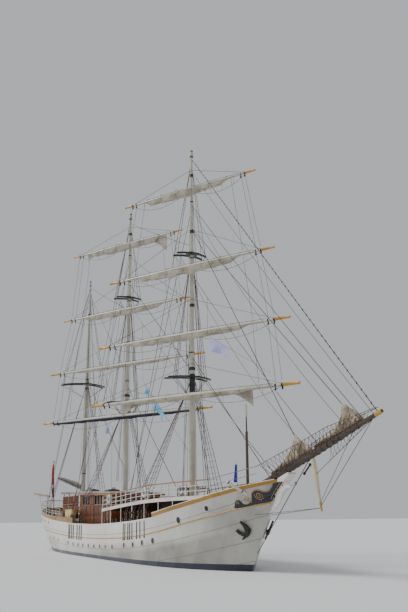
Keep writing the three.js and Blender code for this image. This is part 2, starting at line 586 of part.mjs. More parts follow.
// Headsail bundles on top of the bowsprit, each with a peak where it climbs its stay
const BUNDLES = [
  // name, then the row of its peak, then rows of x, height and half width
  ['inner_jib_bundle', 4, [[24.35, 0.12, 0.1], [25.4, 0.25, 0.18], [26.3, 0.42, 0.26],
    [26.7, 0.8, 0.24], [26.88, 1.42, 0.1], [27.2, 1.15, 0.16], [27.6, 0.85, 0.22],
    [28.1, 0.45, 0.2], [28.5, 0.2, 0.12]]],
  ['outer_jib_bundle', 4, [[28.9, 0.12, 0.08], [30.3, 0.16, 0.14], [31.0, 0.27, 0.2],
    [31.45, 0.6, 0.22], [31.52, 1.42, 0.1], [31.8, 1.3, 0.12], [32.35, 0.85, 0.18],
    [32.85, 0.35, 0.16], [33.1, 0.12, 0.1]]],
];
for (const [name, , rows] of BUNDLES) {
  const rings = rows.map(([x, height, wide]) => turns(8).map((a) => vec(x, Math.cos(a) * wide,
    spritTop(x) + GAP + height / 2 * (1 + Math.sin(a)))));
  add(name, loft(rings), 'jib', 0.95);
}

// Main stays. Each ends with the rim of its wire against what carries it.
const STAY_RADIUS = 0.024;
const stemAt = (z) => linear([[LEVELS[4].z, LEVELS[4].fore],
  [heightAt(LEVELS[5], LEVELS[5].fore), LEVELS[5].fore]], z);
const ENDS = {
  foremast: (z) => ({ x: MASTS.fore.x + mastRadius(MASTS.fore, z), z }),
  mainmast: (z) => ({ x: MASTS.main.x + mastRadius(MASTS.main, z), z }),
  mizzenmast: (z) => ({ x: MASTS.mizzen.x + mastRadius(MASTS.mizzen, z), z }),
  behindForemast: (z) => ({ x: MASTS.fore.x - mastRadius(MASTS.fore, z), z }),
  behindMainmast: (z) => ({ x: MASTS.main.x - mastRadius(MASTS.main, z), z }),
  stem: (z) => ({ x: stemAt(z), z }),
  bowsprit: (x) => ({ x, z: spritTop(x) }),
  underBowsprit: (x) => ({ x, z: spritUnder(x) }),
  walk: (x) => ({ x, z: walkTop(x) }),
  peak: (i) => {
    const [, row, rows] = BUNDLES[i];
    const [x, height] = rows[row];
    return { x, z: spritTop(x) + GAP + height };
  },
};
const STAYS = [
  // name, then for each leg: upper end, its height, lower end, its place
  ['fore_stay', [['foremast', 14.7, 'bowsprit', 24.0]]],
  ['jib_stays', [['foremast', 25.2, 'peak', 0], ['foremast', 25.22, 'peak', 1]]],
  ['fore_royal_stay', [['foremast', 31.3, 'bowsprit', 34.3]]],
  ['main_stay', [['mainmast', 14.7, 'walk', 11.6]]],
  ['main_topmast_stay', [['mainmast', 24.6, 'behindForemast', 13.9]]],
  ['mizzen_stay', [['mizzenmast', 17.4, 'behindMainmast', 7.4]]],
  ['bobstay', [['stem', 1.1, 'underBowsprit', 28.2]]],
];

// Centres of a wire's two ends, so that its rims clear what carries it by the gap
function stayEnds([fromKind, fromAt, toKind, toAt]) {
  const [a, b] = [ENDS[fromKind](fromAt), ENDS[toKind](toAt)];
  const slope = Math.atan2(b.z - a.z, b.x - a.x);
  const [dx, dz] = [STAY_RADIUS * Math.abs(Math.sin(slope)), STAY_RADIUS * Math.cos(slope)];
  const seat = {
    peak: (p) => [p.x, p.z + GAP / Math.abs(Math.sin(slope))],
    bowsprit: (p) => [p.x, spritTop(p.x - dx) + dz + GAP * 1.2],
    walk: (p) => [p.x, walkTop(p.x) + dz + GAP],
    underBowsprit: (p) => [p.x, spritUnder(p.x - dx) - dz - GAP * 1.2],
    stem: (p) => [p.x + (STAY_RADIUS + GAP) * 0.834, p.z - (STAY_RADIUS + GAP) * 0.552],
    behindForemast: (p) => [p.x - dx - GAP, p.z],
    behindMainmast: (p) => [p.x - dx - GAP, p.z],
  };
  const place = (kind, p) => (seat[kind] ? seat[kind](p) : [p.x + dx + GAP, p.z]);
  const [[x0, z0], [x1, z1]] = [place(fromKind, a), place(toKind, b)];
  return [[x0, 0, z0], [x1, 0, z1]];
}
for (const [name, legs] of STAYS) {
  const wires = legs.map((leg) => rod(...stayEnds(leg), STAY_RADIUS, 6));
  add(name, wires.length > 1 ? join(...wires) : wires[0], 'wire', 0.5, 0.3);
}

// Spanker boom and its furled sail, behind the mizzen mast
const BOOM = { fore: [-13.2, 6.05], aft: [-23.1, 7.6], radius: 0.13 };
const BOOM_PROFILE = [[0, 0.7], [0.3, 1], [0.8, 0.85], [1, 0.5]]
  .map(([t, share]) => [t, share * BOOM.radius]);
const boomTilt = Math.atan2(BOOM.aft[1] - BOOM.fore[1], BOOM.fore[0] - BOOM.aft[0]);
const boomRoot = [BOOM.fore[0] - mastRadius(MASTS.mizzen, BOOM.fore[1]) - RUN
  - BOOM_PROFILE[0][1] * Math.sin(boomTilt), BOOM.fore[1]];
const boomTop = edgeOf(boomRoot, BOOM.aft, BOOM_PROFILE, 1);
add('spanker_boom', spar([boomRoot[0], 0, boomRoot[1]], [BOOM.aft[0], 0, BOOM.aft[1]], BOOM_PROFILE,
  12), 'cream', 0.5);
function spankerBundle() {
  const rows = [
    // share of the boom's length, height, half width
    [0.05, 0.3, 0.12], [0.17, 0.42, 0.2], [0.3, 0.44, 0.21], [0.55, 0.38, 0.19], [0.8, 0.26, 0.14],
    [0.93, 0.12, 0.07],
  ];
  const rings = rows.map(([t, height, wide]) => {
    const radius = linear(BOOM_PROFILE, t);
    const x = boomRoot[0] + (BOOM.aft[0] - boomRoot[0]) * t + radius * Math.sin(boomTilt);
    return turns(8).map((a) => vec(x, -Math.cos(a) * wide,
      boomTop(x) + GAP * 1.2 + height / 2 * (1 + Math.sin(a))));
  });
  return loft(rings);
}
add('spanker_sail', spankerBundle(), 'canvas', 0.9);

// Rudder with its stock, and the screw
function rudder() {
  const { post, aft, low, high, thick, stock } = RUDDER;
  const blade = plate([[post - 0.1, low], [aft, low + 0.15], [aft, high - 0.5], [post - 0.1, high]],
    'y', -thick / 2, thick / 2);
  const shaft = rod([post - 0.05, 0, SOLE.top + RUN], [post - 0.05, 0, 0.15], stock, 16);
  return join(blade, shaft);
}
add('rudder', rudder(), 'black', 0.6);

function screw() {
  const hub = spar([ARCH.fore - RUN, 0, SCREW.z], [ARCH.fore - 0.62, 0, SCREW.z],
    [[0, 0.15], [0.7, 0.14], [1, 0.05]], 12);
  const outline = [[-0.06, 0.08], [-0.24, 0.45], [-0.2, 0.74], [0, 0.82], [0.2, 0.74], [0.24, 0.45],
    [0.06, 0.08]];
  const blades = [0, 1, 2, 3].map((k) => plate(outline, 'y', -0.02, 0.02)
    .rotateZ(0.95).rotateX(k * Math.PI / 2).translate((ARCH.fore - 0.3) * M, 0, SCREW.z * M));
  return join(hub, ...blades);
}
add('propeller', screw(), 'bronze', 0.35, 0.9);

// Steering wheel on its stand, on the quarterdeck behind the mizzen mast
const WHEEL = { x: -16.4, z: 1.0, radius: 0.55 };
function helm() {
  const base = onto(deckZ, WHEEL.x + 0.36, 0.24);
  const stand = box(WHEEL.x + 0.12, WHEEL.x + 0.6, -0.16, 0.16, base, base + 1.15);
  const axle = rod([WHEEL.x + 0.2, 0, base + WHEEL.z], [WHEEL.x - 0.12, 0, base + WHEEL.z], 0.06, 8);
  const rim = new THREE.TorusGeometry(WHEEL.radius * M, 0.035 * M, 6, 20).rotateY(Math.PI / 2)
    .translate(WHEEL.x * M, 0, (base + WHEEL.z) * M);
  const spokes = [0, 1, 2, 3].map((k) => {
    const a = k * Math.PI / 4;
    const [y, z] = [Math.cos(a) * 0.7, Math.sin(a) * 0.7];
    return rod([WHEEL.x, -y, base + WHEEL.z - z], [WHEEL.x, y, base + WHEEL.z + z], 0.022, 6);
  });
  return join(stand, axle, rim, ...spokes);
}
add('helm', helm(), 'wood', 0.45);

// Short derrick post on the forecastle
const POST = { x: 22.0, y: -0.35, radius: 0.095, top: 10.1 };
add('foredeck_post', spar([POST.x, POST.y, onto(deckZ, POST.x, POST.radius)], [POST.x, POST.y, POST.top],
  [[0, POST.radius], [0.7, POST.radius * 0.9], [0.72, POST.radius * 0.5], [1, POST.radius * 0.35]], 12),
'brown', 0.5);

// Anchors against the bow: arms and crown lie along the plating, and the shank runs into the hull
const ANCHOR = { at: [22.35, 0.62, 2.25], forward: [0.854, -0.52, 0], up: [0.229, 0.376, 0.898],
  off: 0.13, thick: 0.13 };
const ANCHOR_OUTLINE = [
  // forwards and up in the anchor's own plane
  [-0.28, 0.8], [-0.23, 0.84], [0.03, 0.63], [0.19, 0.46], [0.32, 0.22], [0.25, 0.05],
  [0.12, -0.11], [-0.08, -0.21], [-0.37, -0.37], [-0.4, -0.3], [-0.23, -0.12], [-0.38, -0.08],
  [-0.53, 0.01], [-0.71, 0.21], [-0.66, 0.26], [-0.54, 0.25], [-0.44, 0.13], [-0.3, 0.08],
  [-0.12, 0.08], [-0.06, 0.18], [-0.08, 0.44], [-0.19, 0.66],
];

function portAnchor() {
  const { at, forward, up, off, thick } = ANCHOR;
  const arms = plate(ANCHOR_OUTLINE, 'y', -thick / 2, thick / 2);
  const crown = rod([0.2, 0, 0.22], [0.0, 0, -0.02], 0.11, 12);
  const shank = rod([0.08, 0, 0.1], [-0.12, -0.6, 0.3], 0.07, 12);
  const [x, z] = [new THREE.Vector3(...forward), new THREE.Vector3(...up)].map((v) => v.normalize());
  const out = new THREE.Vector3().crossVectors(z, x).normalize();
  const place = new THREE.Matrix4().makeBasis(x, out, new THREE.Vector3().crossVectors(x, out))
    .setPosition(vec(...at).addScaledVector(out, off * M));
  return join(arms, crown, shank).applyMatrix4(place);
}
for (const [name, side] of [['anchor_port', 1], ['anchor_starboard', -1]]) {
  const whole = side > 0 ? portAnchor() : geometryOf(solid(portAnchor()).mirror([0, 1, 0]));
  const plating = hullShape.clone().translate(0, side * GAP * 1.4 * M, 0);
  add(name, cut(whole, plating), 'black', 0.5);
}

// Staff and hanging ensign at the stern
const STAFF = { foot: [-24.35, sheer(-24.4) + BAND_AFT[0][1] + GAP + 0.0093], head: [-25.3, 9.7],
  radius: 0.05 };
add('ensign_staff', spar([STAFF.foot[0], 0, STAFF.foot[1]], [STAFF.head[0], 0, STAFF.head[1]],
  [[0, STAFF.radius], [0.96, STAFF.radius * 0.6], [0.965, STAFF.radius * 1.3], [1, STAFF.radius]], 10),
'wood', 0.5);
const ENSIGN = { top: 9.3, low: 5.5, deep: 0.34, wide: 0.16 };
function ensign() {
  const { foot, head, radius } = STAFF;
  const share = (z) => (z - foot[1]) / (head[1] - foot[1]);
  const behind = (z) => foot[0] + (head[0] - foot[0]) * share(z)
    - linear([[0, radius], [0.96, radius * 0.6]], share(z)) * 1.02 - GAP;
  const rows = [[ENSIGN.low, 0.5], [6.1, 0.95], [7.4, 1], [8.8, 0.8], [ENSIGN.top, 0.35]];
  return loft(rows.map(([z, grow]) => turns(8).map((a) => vec(
    behind(z) - ENSIGN.deep * grow * (1 + Math.cos(a)), -Math.sin(a) * ENSIGN.wide * grow, z))));
}
add('ensign', ensign(), 'flag', 0.9);

export default ship;
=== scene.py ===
# %% [markdown]
# # A three-masted tall ship, at half size
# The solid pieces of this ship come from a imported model: hull, decks, masts, yards, deckhouse and
# stays. This lesson gives each of them its finish, and adds what is too fine for solid modelling:
# shrouds and ratlines, rails, mouldings, portholes, furled canvas, blocks and deck gear.
# Sizes are written in metres on the full-size ship, and one function halves them.

# %% Load the model
import math

import bmesh
import bpy
from mathutils import Matrix, Vector, noise
from mathutils.bvhtree import BVHTree


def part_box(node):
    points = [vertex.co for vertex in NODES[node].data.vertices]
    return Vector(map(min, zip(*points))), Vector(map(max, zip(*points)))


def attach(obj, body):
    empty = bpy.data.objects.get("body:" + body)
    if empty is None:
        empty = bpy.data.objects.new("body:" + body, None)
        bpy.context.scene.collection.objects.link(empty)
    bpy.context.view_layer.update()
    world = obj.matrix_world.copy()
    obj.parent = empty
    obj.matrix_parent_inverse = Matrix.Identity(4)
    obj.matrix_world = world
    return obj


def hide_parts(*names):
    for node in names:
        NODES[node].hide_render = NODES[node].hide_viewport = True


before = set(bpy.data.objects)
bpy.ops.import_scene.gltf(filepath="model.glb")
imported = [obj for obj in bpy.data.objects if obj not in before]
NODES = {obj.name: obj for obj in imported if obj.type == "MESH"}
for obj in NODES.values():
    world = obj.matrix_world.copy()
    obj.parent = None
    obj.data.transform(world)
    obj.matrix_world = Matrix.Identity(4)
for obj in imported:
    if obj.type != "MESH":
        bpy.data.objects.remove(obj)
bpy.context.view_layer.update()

HALF = 0.5
MM = 0.001


def at(x, y, z):
    """A point given in metres on the ship, in the model's metres."""
    return Vector((x, y, z)) * HALF


UP = at(0, 0, 1)                   # one metre on the ship
print("nodes", len(NODES))

# %% [markdown]
# ## Camera
# The view is from low down, off the starboard bow, through a lens a little wider than normal. The
# camera's place was fitted to the mast heads, yardarms and waterline: 62.6 m ahead of amidships,
# 23.4 m to starboard and 3.3 m up, in full-size metres.

# %% Camera
CAMERA_PLACE = (62.6, -23.38, 3.28)
LENS = 43.12                       # mm, on a sensor 36 mm wide
CAMERA_YAW, CAMERA_PITCH, CAMERA_ROLL = (math.radians(a) for a in (153.65, 15.96, -0.47))

camera = bpy.data.objects.new("camera", bpy.data.cameras.new("camera"))
bpy.context.scene.collection.objects.link(camera)
camera.data.lens = LENS
camera.data.sensor_width = 36
camera.data.clip_end = 500
camera.matrix_world = (Matrix.Translation(at(*CAMERA_PLACE))
                       @ Matrix.Rotation(CAMERA_YAW - math.pi / 2, 4, "Z")
                       @ Matrix.Rotation(CAMERA_PITCH + math.pi / 2, 4, "X")
                       @ Matrix.Rotation(CAMERA_ROLL, 4, "Z"))
bpy.context.scene.camera = camera
print("camera", [round(v, 2) for v in camera.matrix_world.translation])

# %% [markdown]
# ## Light and floor
# Soft daylight falls on a ship evenly from all sides, a little more from above. A pale world does
# most of that work. A large soft sun gives masts and sails a bright side and a shaded side. The
# floor is plain and lies at the waterline.

# %% Light and floor
world = bpy.data.worlds.new("overcast")
bpy.context.scene.world = world
world.use_nodes = True
glow = world.node_tree.nodes["Background"]
glow.inputs["Color"].default_value = (0.60, 0.62, 0.65, 1)
glow.inputs["Strength"].default_value = 0.84

sun = bpy.data.objects.new("sun", bpy.data.lights.new("sun", "SUN"))
sun.data.energy = 2.1
sun.data.angle = math.radians(25)
sun.rotation_euler = (math.radians(48.7), 0, math.radians(-36.9))
bpy.context.scene.collection.objects.link(sun)

FLOOR_SIZE = 400
bm = bmesh.new()
bmesh.ops.create_grid(bm, x_segments=1, y_segments=1, size=FLOOR_SIZE / 2)
floor_mesh = bpy.data.meshes.new("floor")
bm.to_mesh(floor_mesh)
bm.free()
floor = bpy.data.objects.new("floor", floor_mesh)
bpy.context.scene.collection.objects.link(floor)
print("floor", FLOOR_SIZE, "m across at the waterline")

# %% [markdown]
# ## Helpers for materials
# Colours are read from swatches as sRGB hex, and a shader wants them linear, so one function turns
# them. One more adds a node, with its settings and links. An input may be a number, a colour or
# another node, and then the node's first live output is used. Mapping nodes are of the texture
# kind, so their scale is the real size of the pattern. Short recipes take up what many materials
# share: stretched grain, soft patches, colours laid over each other, a relief and plain bands.

# %% Colour and node helpers
def linear(code):
    """Linear RGBA of an sRGB hex colour."""
    parts = [int(code[i:i + 2], 16) / 255 for i in (1, 3, 5)]
    return tuple(v / 12.92 if v <= 0.04045 else ((v + 0.055) / 1.055) ** 2.4 for v in parts) + (1,)


def put(tree, kind, inputs, **settings):
    """Adds a shader node, or takes one that is there, and sets or links its inputs."""
    node = tree.nodes.new("ShaderNode" + kind) if isinstance(kind, str) else kind
    for name, value in settings.items():
        setattr(node, name, value)
    for socket, value in inputs.items():
        if isinstance(value, bpy.types.Node):
            value = next(output for output in value.outputs if output.enabled)
        if isinstance(value, bpy.types.NodeSocket):
            tree.links.new(value, node.inputs[socket])
        else:
            node.inputs[socket].default_value = linear(value) if isinstance(value, str) else value
    return node


def start(name, roughness, metallic=0.0, coat=0.0, sheen=0.0):
    """A new material, its shader with settings that hold all over, and its place node."""
    material = bpy.data.materials.new(name)
    material.use_nodes = True
    tree = material.node_tree
    shader = tree.nodes["Principled BSDF"]
    put(tree, shader, {"Roughness": roughness, "Metallic": metallic, "Coat Weight": coat,
                       "Sheen Weight": sheen})
    return material, tree, shader, put(tree, "TexCoord", {}).outputs["Object"]


print("white reads", [round(v, 3) for v in linear("#E8E5DC")])

# %% Pattern recipes
def grain(tree, place, size, detail):
    """Noise that is stretched to a size in mm along each axis."""
    chart = put(tree, "Mapping", {"Vector": place, "Scale": [side * MM for side in size]},
                vector_type="TEXTURE")
    return put(tree, "TexNoise", {"Vector": chart, "Scale": 1.0, "Detail": detail})


def patches(tree, place, size, detail, low, high, most=1.0):
    """Soft patches of a size in mm, from 0 at one level of the noise to most at another."""
    cloud = put(tree, "TexNoise", {"Vector": place, "Scale": 1 / (size * MM), "Detail": detail})
    return put(tree, "MapRange", {"Value": cloud, 1: low, 2: high, 4: most})


def layered(tree, colour, *layers):
    """A colour with others laid over it in turn, each by its share."""
    for share, over in layers:
        colour = put(tree, "Mix", {0: share, 6: colour, 7: over}, data_type="RGBA")
    return colour


def surface(tree, shader, colour, height, strength, depth, **others):
    """Links a colour, a relief with a depth in mm, and what else the shader takes."""
    bump = put(tree, "Bump", {"Height": height, "Strength": strength, "Distance": depth * MM})
    put(tree, shader, {"Base Color": colour, "Normal": bump, **others})


def banded(tree, value, stops):
    """Bands of plain colour by a value: each starts at its own share."""
    bands = put(tree, "ValToRGB", {0: value})
    ramp = bands.color_ramp
    ramp.interpolation = "CONSTANT"
    while len(ramp.elements) < len(stops):
        ramp.elements.new(0.5)
    for stop, (share, colour) in zip(ramp.elements, stops):
        stop.position = share
        stop.color = linear(colour)
    return bands.outputs["Color"]


print("recipes ready")

# %% [markdown]
# ## Enamel
# Most of what shows on the ship is brushed enamel over steel or wood: thick, glossy, a little
# uneven. Three things make it read as paint: broad patches where it has chalked, fine brush marks
# along the work, and dirt that runs down from edges. One recipe makes all the enamels. Real brush
# marks are under a millimetre wide and are drawn 12 mm wide, so that they show.

# %% Enamel recipe
def enamel(name, colour, worn, roughness=0.32, brush=(600, 12, 12)):
    """Brushed gloss paint with chalked patches, brush marks and thin runs of dirt, sizes in mm."""
    material, tree, shader, place = start(name, roughness, coat=0.15)
    chalk = patches(tree, place, 700, 4.0, 0.42, 0.68, 0.6)
    run = put(tree, "MapRange", {"Value": grain(tree, place, (50, 50, 900), 3.0), 1: 0.56, 2: 0.72,
                                 4: 0.35})
    rough = put(tree, "MapRange", {"Value": chalk, 1: 0.0, 2: 0.6, 3: roughness - 0.06,
                                   4: roughness + 0.14})
    surface(tree, shader, layered(tree, colour, (chalk, worn), (run, worn)),
            grain(tree, place, brush, 2.0), 0.15, 2, Roughness=rough)
    return material


UPRIGHT_BRUSH = (12, 12, 600)
WHITE_ENAMEL = enamel("white_enamel", "#E4E2DA", "#B9B4A8")
OCHRE_ENAMEL = enamel("ochre_enamel_on_wood", "#A67A1E", "#7E5E22")
GOLD_PAINT = enamel("gold_paint", "#C79A3C", "#A17828", roughness=0.28)
NAVY_ENAMEL = enamel("navy_enamel", "#171B33", "#2A2F49")
BLACK_ENAMEL = enamel("black_enamel_on_iron", "#0D0D0F", "#242322", roughness=0.5)
CREAM_ENAMEL = enamel("cream_enamel_on_spars", "#C4C0AF", "#9E9886", brush=UPRIGHT_BRUSH)
ROOF_ENAMEL = enamel("pale_enamel_on_canvas_deckhead", "#A9BFD0", "#8FA2B2", roughness=0.55)
LOCKER_ENAMEL = enamel("cream_yellow_enamel", "#E4CE8E", "#BDA563")
YELLOW_ENAMEL = enamel("yellow_enamel", "#D89A1C", "#AE7A14")
PALE_YELLOW_ENAMEL = enamel("pale_yellow_enamel", "#D2C6A2", "#A89B78", brush=UPRIGHT_BRUSH)
print("enamels ready")

# %% [markdown]
# ## Hull plating
# The hull is steel plate under warm white enamel. Strakes of plate run fore and aft beside the
# sheer, so their seams are drawn on the height above or below that curve. Butts cross them every
# few metres. A navy boot-top covers the band at the waterline, and below it is red
# anti-fouling. Rust weeps down the white in thin runs. The lower strakes amidships are greyed by
# settled dirt and painted shade, and the flare of the bow by painted shade.

# %% Hull plating
STRAKE, PLATE_LENGTH = 550, 2400   # mm
BOOT_TOP = 0.135                   # m above the floor amidships
BOOT_RISE = 0.0006                 # how it climbs towards the ends, by the square of the length
# The painted shade and dirt on the lower strakes are strongest about this length
DIRT_AND_SHADE_MIDDLE = 6.5                # m ahead of amidships
SHEER_CURVE = (1.185e-5, 1.8677e-4, 4.8277e-3, 3.1974e-3, 0.765)


def hull_plating():
    """White enamel on steel plates, with the boot-top and anti-fouling below."""
    material, tree, shader, place = start("white_enamel_on_steel_plate", 0.3, coat=0.2)
    axis = put(tree, "SeparateXYZ", {"Vector": place}).outputs
    # The seams run beside the gold sheer line, whose height is this curve of the length
    level = SHEER_CURVE[0]
    for factor in SHEER_CURVE[1:]:
        level = put(tree, "Math", {0: level, 1: axis["X"], 2: factor}, operation="MULTIPLY_ADD")
    above = put(tree, "Math", {0: axis["Z"], 1: level}, operation="SUBTRACT")
    strake = put(tree, "Math", {0: above, 1: 1 / (STRAKE * MM), 2: 0.727}, operation="MULTIPLY_ADD")
    butt = put(tree, "Math", {0: axis["X"], 1: PLATE_LENGTH * MM}, operation="DIVIDE")
    chart = put(tree, "CombineXYZ", {"X": butt, "Y": strake})
    plates = put(tree, "TexBrick", {"Vector": chart, "Scale": 1.0, "Mortar Size": 0.008,
                                    "Mortar Smooth": 0.5, "Brick Width": 1.0, "Row Height": 1.0},
                 offset=0.37)
    fold = put(tree, "Math", {0: strake, 1: 0.5}, operation="PINGPONG")
    seam = put(tree, "MapRange", {"Value": fold, 1: 0.008, 2: 0.034, 3: 1.0, 4: 0.0})
    chalk = patches(tree, place, 1600, 5.0, 0.40, 0.66, 0.8)
    weep = put(tree, "MapRange", {"Value": grain(tree, place, (90, 90, 1300), 4.0), 1: 0.60,
                                  2: 0.74, 4: 0.22})
    # The lower strakes amidships are greyer, by settled dirt and painted shade, and the flare of the bow
    # is greyer by painted shade
    amidships = put(tree, "Math", {0: axis["X"], 1: DIRT_AND_SHADE_MIDDLE}, operation="SUBTRACT")
    amidships = put(tree, "Math", {0: amidships}, operation="ABSOLUTE")
    amidships = put(tree, "MapRange", {"Value": amidships, 1: 2.0, 2: 9.0, 3: 1.0, 4: 0.4})
    low_dirt_and_shade = put(tree, "MapRange", {"Value": above, 1: -0.12, 2: -0.6, 3: 0.0, 4: 1.0})
    low_dirt_and_shade = put(tree, "Math", {0: low_dirt_and_shade, 1: amidships}, operation="MULTIPLY")
    bow_shade = put(tree, "MapRange", {"Value": axis["X"], 1: 4.5, 2: 11.5, 3: 0.0, 4: 0.85})
    dirt_and_shade = put(tree, "Math", {0: low_dirt_and_shade, 1: bow_shade}, operation="MAXIMUM")
    cloud = put(tree, "MapRange", {"Value": chalk, 1: 0.0, 2: 0.8, 3: 0.8, 4: 1.15})
    dirt_and_shade = put(tree, "Math", {0: dirt_and_shade, 1: cloud}, operation="MULTIPLY")
    butt_line = put(tree, "Math", {0: plates.outputs["Fac"], 1: 0.12}, operation="MULTIPLY")
    seam_line = put(tree, "Math", {0: seam, 1: 0.62}, operation="MULTIPLY")
    square = put(tree, "Math", {0: axis["X"], 1: axis["X"]}, operation="MULTIPLY")
    edge = put(tree, "Math", {0: square, 1: BOOT_RISE, 2: BOOT_TOP}, operation="MULTIPLY_ADD")
    low = put(tree, "Math", {0: axis["Z"], 1: edge}, operation="LESS_THAN")
    sunk = put(tree, "Math", {0: axis["Z"], 1: -0.02}, operation="LESS_THAN")
    # The grey #908E85 over the white is painted shade, with some settled dirt low amidships
    whole = layered(tree, "#EFEDE6", (chalk, "#DCD8CD"), (weep, "#A58C6A"), (dirt_and_shade, "#908E85"),
                    (butt_line, "#8E8A7E"), (seam_line, "#77746B"),
                    (low, layered(tree, "#1E2233", (chalk, "#333A4E"))),
                    (sunk, layered(tree, "#5B2722", (chalk, "#7A3A2C"))))
    rough = put(tree, "MapRange", {"Value": chalk, 1: 0.0, 2: 0.8, 3: 0.26, 4: 0.46})
    # Plates are dished a little between their frames
    dish = grain(tree, place, (340, 340, 280), 1.0)
    relief = put(tree, "Math", {0: seam, 1: 1.3, 2: dish}, operation="MULTIPLY_ADD")
    surface(tree, shader, whole, relief, 0.3, 8, Roughness=rough)
    return material


HULL_PLATING = hull_plating()
print("boot-top to", BOOT_TOP, "m above the floor")

# %% [markdown]
# ## Deck planks
# The decks are scrubbed teak: silver-brown planks with black caulking, in lengths that break
# joint. A brick pattern lays planks by itself when each brick is one plank, 65 mm wide here. The
# grain is noise that is stretched along the timber.

# %% Deck planks
PLANK_WIDTH, PLANK_LENGTH = 65, 2500


def deck_planking(name, light, dark):
    """Scrubbed planks laid fore and aft, with caulked seams. Sizes are in mm."""
    material, tree, shader, place = start(name, 0.7)
    planks = put(tree, "TexBrick", {
        "Vector": place, "Scale": 1.0, "Mortar Size": 4 * MM, "Mortar Smooth": 0.2,
        "Brick Width": PLANK_LENGTH * MM, "Row Height": PLANK_WIDTH * MM,
        "Color1": (0.15, 0.15, 0.15, 1), "Color2": (0.85, 0.85, 0.85, 1),
        "Mortar": (0.5, 0.5, 0.5, 1)}, offset=0.37)
    caulk = planks.outputs["Fac"]
    fibre = grain(tree, place, (500, 12, 12), 5.0)
    streak = put(tree, "MapRange", {"Value": fibre, 1: 0.35, 2: 0.75, 4: 0.5})
    rough = put(tree, "MapRange", {"Value": fibre, 1: 0.3, 2: 0.7, 3: 0.6, 4: 0.85})
    groove = put(tree, "Math", {0: 1.0, 1: caulk}, operation="SUBTRACT")
    surface(tree, shader, layered(tree, light, (planks, dark), (streak, dark), (caulk, "#1B1916")),
            groove, 0.5, 3, Roughness=rough)
    return material


SCRUBBED_TEAK = deck_planking("scrubbed_teak_planks", "#A8967C", "#7C6A52")
print("planks ready")

# %% [markdown]
# ## Varnished and oiled wood
# The house, doors, wheel and rails are varnished mahogany: a red-brown grain under a hard gloss,
# so the shader gets a clear coat. The bowsprit is a dark oiled spar with hardly any coat. The grain
# follows the timber, so the recipe is told which way that runs.

# %% Varnish recipe
def varnished(name, light, dark, along, roughness=0.22, coat=0.6):
    """Hardwood under varnish, with its grain along one axis."""
    material, tree, shader, place = start(name, roughness, coat=coat)
    size = [500 if axis == along else 14 for axis in "XYZ"]
    fibre = grain(tree, place, size, 6.0)
    flame = grain(tree, place, [6 * side for side in size], 2.0)
    figure = put(tree, "MapRange", {"Value": flame, 1: 0.3, 2: 0.7})
    streak = put(tree, "MapRange", {"Value": fibre, 1: 0.42, 2: 0.7, 4: 0.75})
    rough = put(tree, "MapRange", {"Value": flame, 1: 0.3, 2: 0.7, 3: roughness - 0.05,
                                   4: roughness + 0.15})
    surface(tree, shader, layered(tree, light, (figure, dark), (streak, dark)), fibre, 0.1, 1,
            Roughness=rough)
    return material


MAHOGANY_UPRIGHT = varnished("varnished_mahogany_upright", "#8F4E0C", "#43200A", "Z", 0.42, 0.1)
PINE_LONG = varnished("varnished_pine_lengthwise", "#B9742E", "#85501F", "X")
MAHOGANY_LONG = varnished("varnished_mahogany_lengthwise", "#8A4A22", "#4E2410", "X")
DARK_SPAR = varnished("oiled_dark_spar", "#544030", "#281C14", "X", roughness=0.4, coat=0.2)
OILED_POST = varnished("oiled_brown_post", "#6E4C3C", "#3C281E", "Z", roughness=0.4, coat=0.2)
print("woods ready")

# %% [markdown]
# ## Sailcloth, rope and bronze
# Sailcloth is a plain weave. Its threads are far too fine to show, so the weave is drawn with a
# 40 mm thread, as a faint crossing of two waves, and the look comes from stains along the folds.
# The creases run along the spar that the sail is furled on, so the recipe takes the spar's turn.
# Rope has its strands as a slanting wave, and bronze has tarnish in patches.

# %% Cloth recipe
THREAD_SCALE = math.tau / (20 * 40 * MM)


def sailcloth(name, light, dark, turn=0.0, stain=0.5):
    """Woven cloth with stains in broad patches and along creases."""
    material, tree, shader, place = start(name, 0.85, sheen=0.2)
    cloth = put(tree, "Mapping", {"Vector": place, "Rotation": (0, 0, turn)}, vector_type="TEXTURE")
    warp, weft = (put(tree, "TexWave", {"Vector": cloth, "Scale": THREAD_SCALE},
                      bands_direction=way).outputs["Fac"] for way in "YZ")
    weave = put(tree, "Math", {0: warp, 1: weft}, operation="MULTIPLY")
    patch = patches(tree, cloth, 450, 5.0, 0.38, 0.66, stain)
    crease = grain(tree, cloth, (60, 420, 45), 4.0)
    fold = put(tree, "MapRange", {"Value": crease, 1: 0.48, 2: 0.72, 4: 0.6})
    height = put(tree, "Math", {0: crease, 1: 6.0, 2: weave}, operation="MULTIPLY_ADD")
    surface(tree, shader, layered(tree, light, (patch, dark), (fold, dark)), height, 0.35, 3)
    return material


print("cloth recipe ready")

# %% Rope and metal recipes
def ropework(name, light, dark, roughness=0.75):
    """Rope or served wire, with its lay as a slanting wave."""
    material, tree, shader, place = start(name, roughness)
    lay = put(tree, "TexWave", {"Vector": place, "Scale": THREAD_SCALE, "Distortion": 2.0},
              bands_direction="DIAGONAL").outputs["Fac"]
    patch = patches(tree, place, 250, 3.0, 0.35, 0.65)
    faint = put(tree, "Math", {0: lay, 1: 0.5}, operation="MULTIPLY")
    surface(tree, shader, layered(tree, light, (patch, dark), (faint, dark)), lay, 0.3, 2)
    return material


def tarnished(name, light, dark, roughness):
    """Cast or polished metal with tarnish in patches."""
    material, tree, shader, place = start(name, roughness, metallic=1.0)
    patch = patches(tree, place, 120, 5.0, 0.4, 0.65)
    rough = put(tree, "MapRange", {"Value": patch, 3: roughness - 0.08, 4: roughness + 0.2})
    put(tree, shader, {"Base Color": layered(tree, light, (patch, dark)), "Roughness": rough})
    return material


print("rope and metal recipes ready")

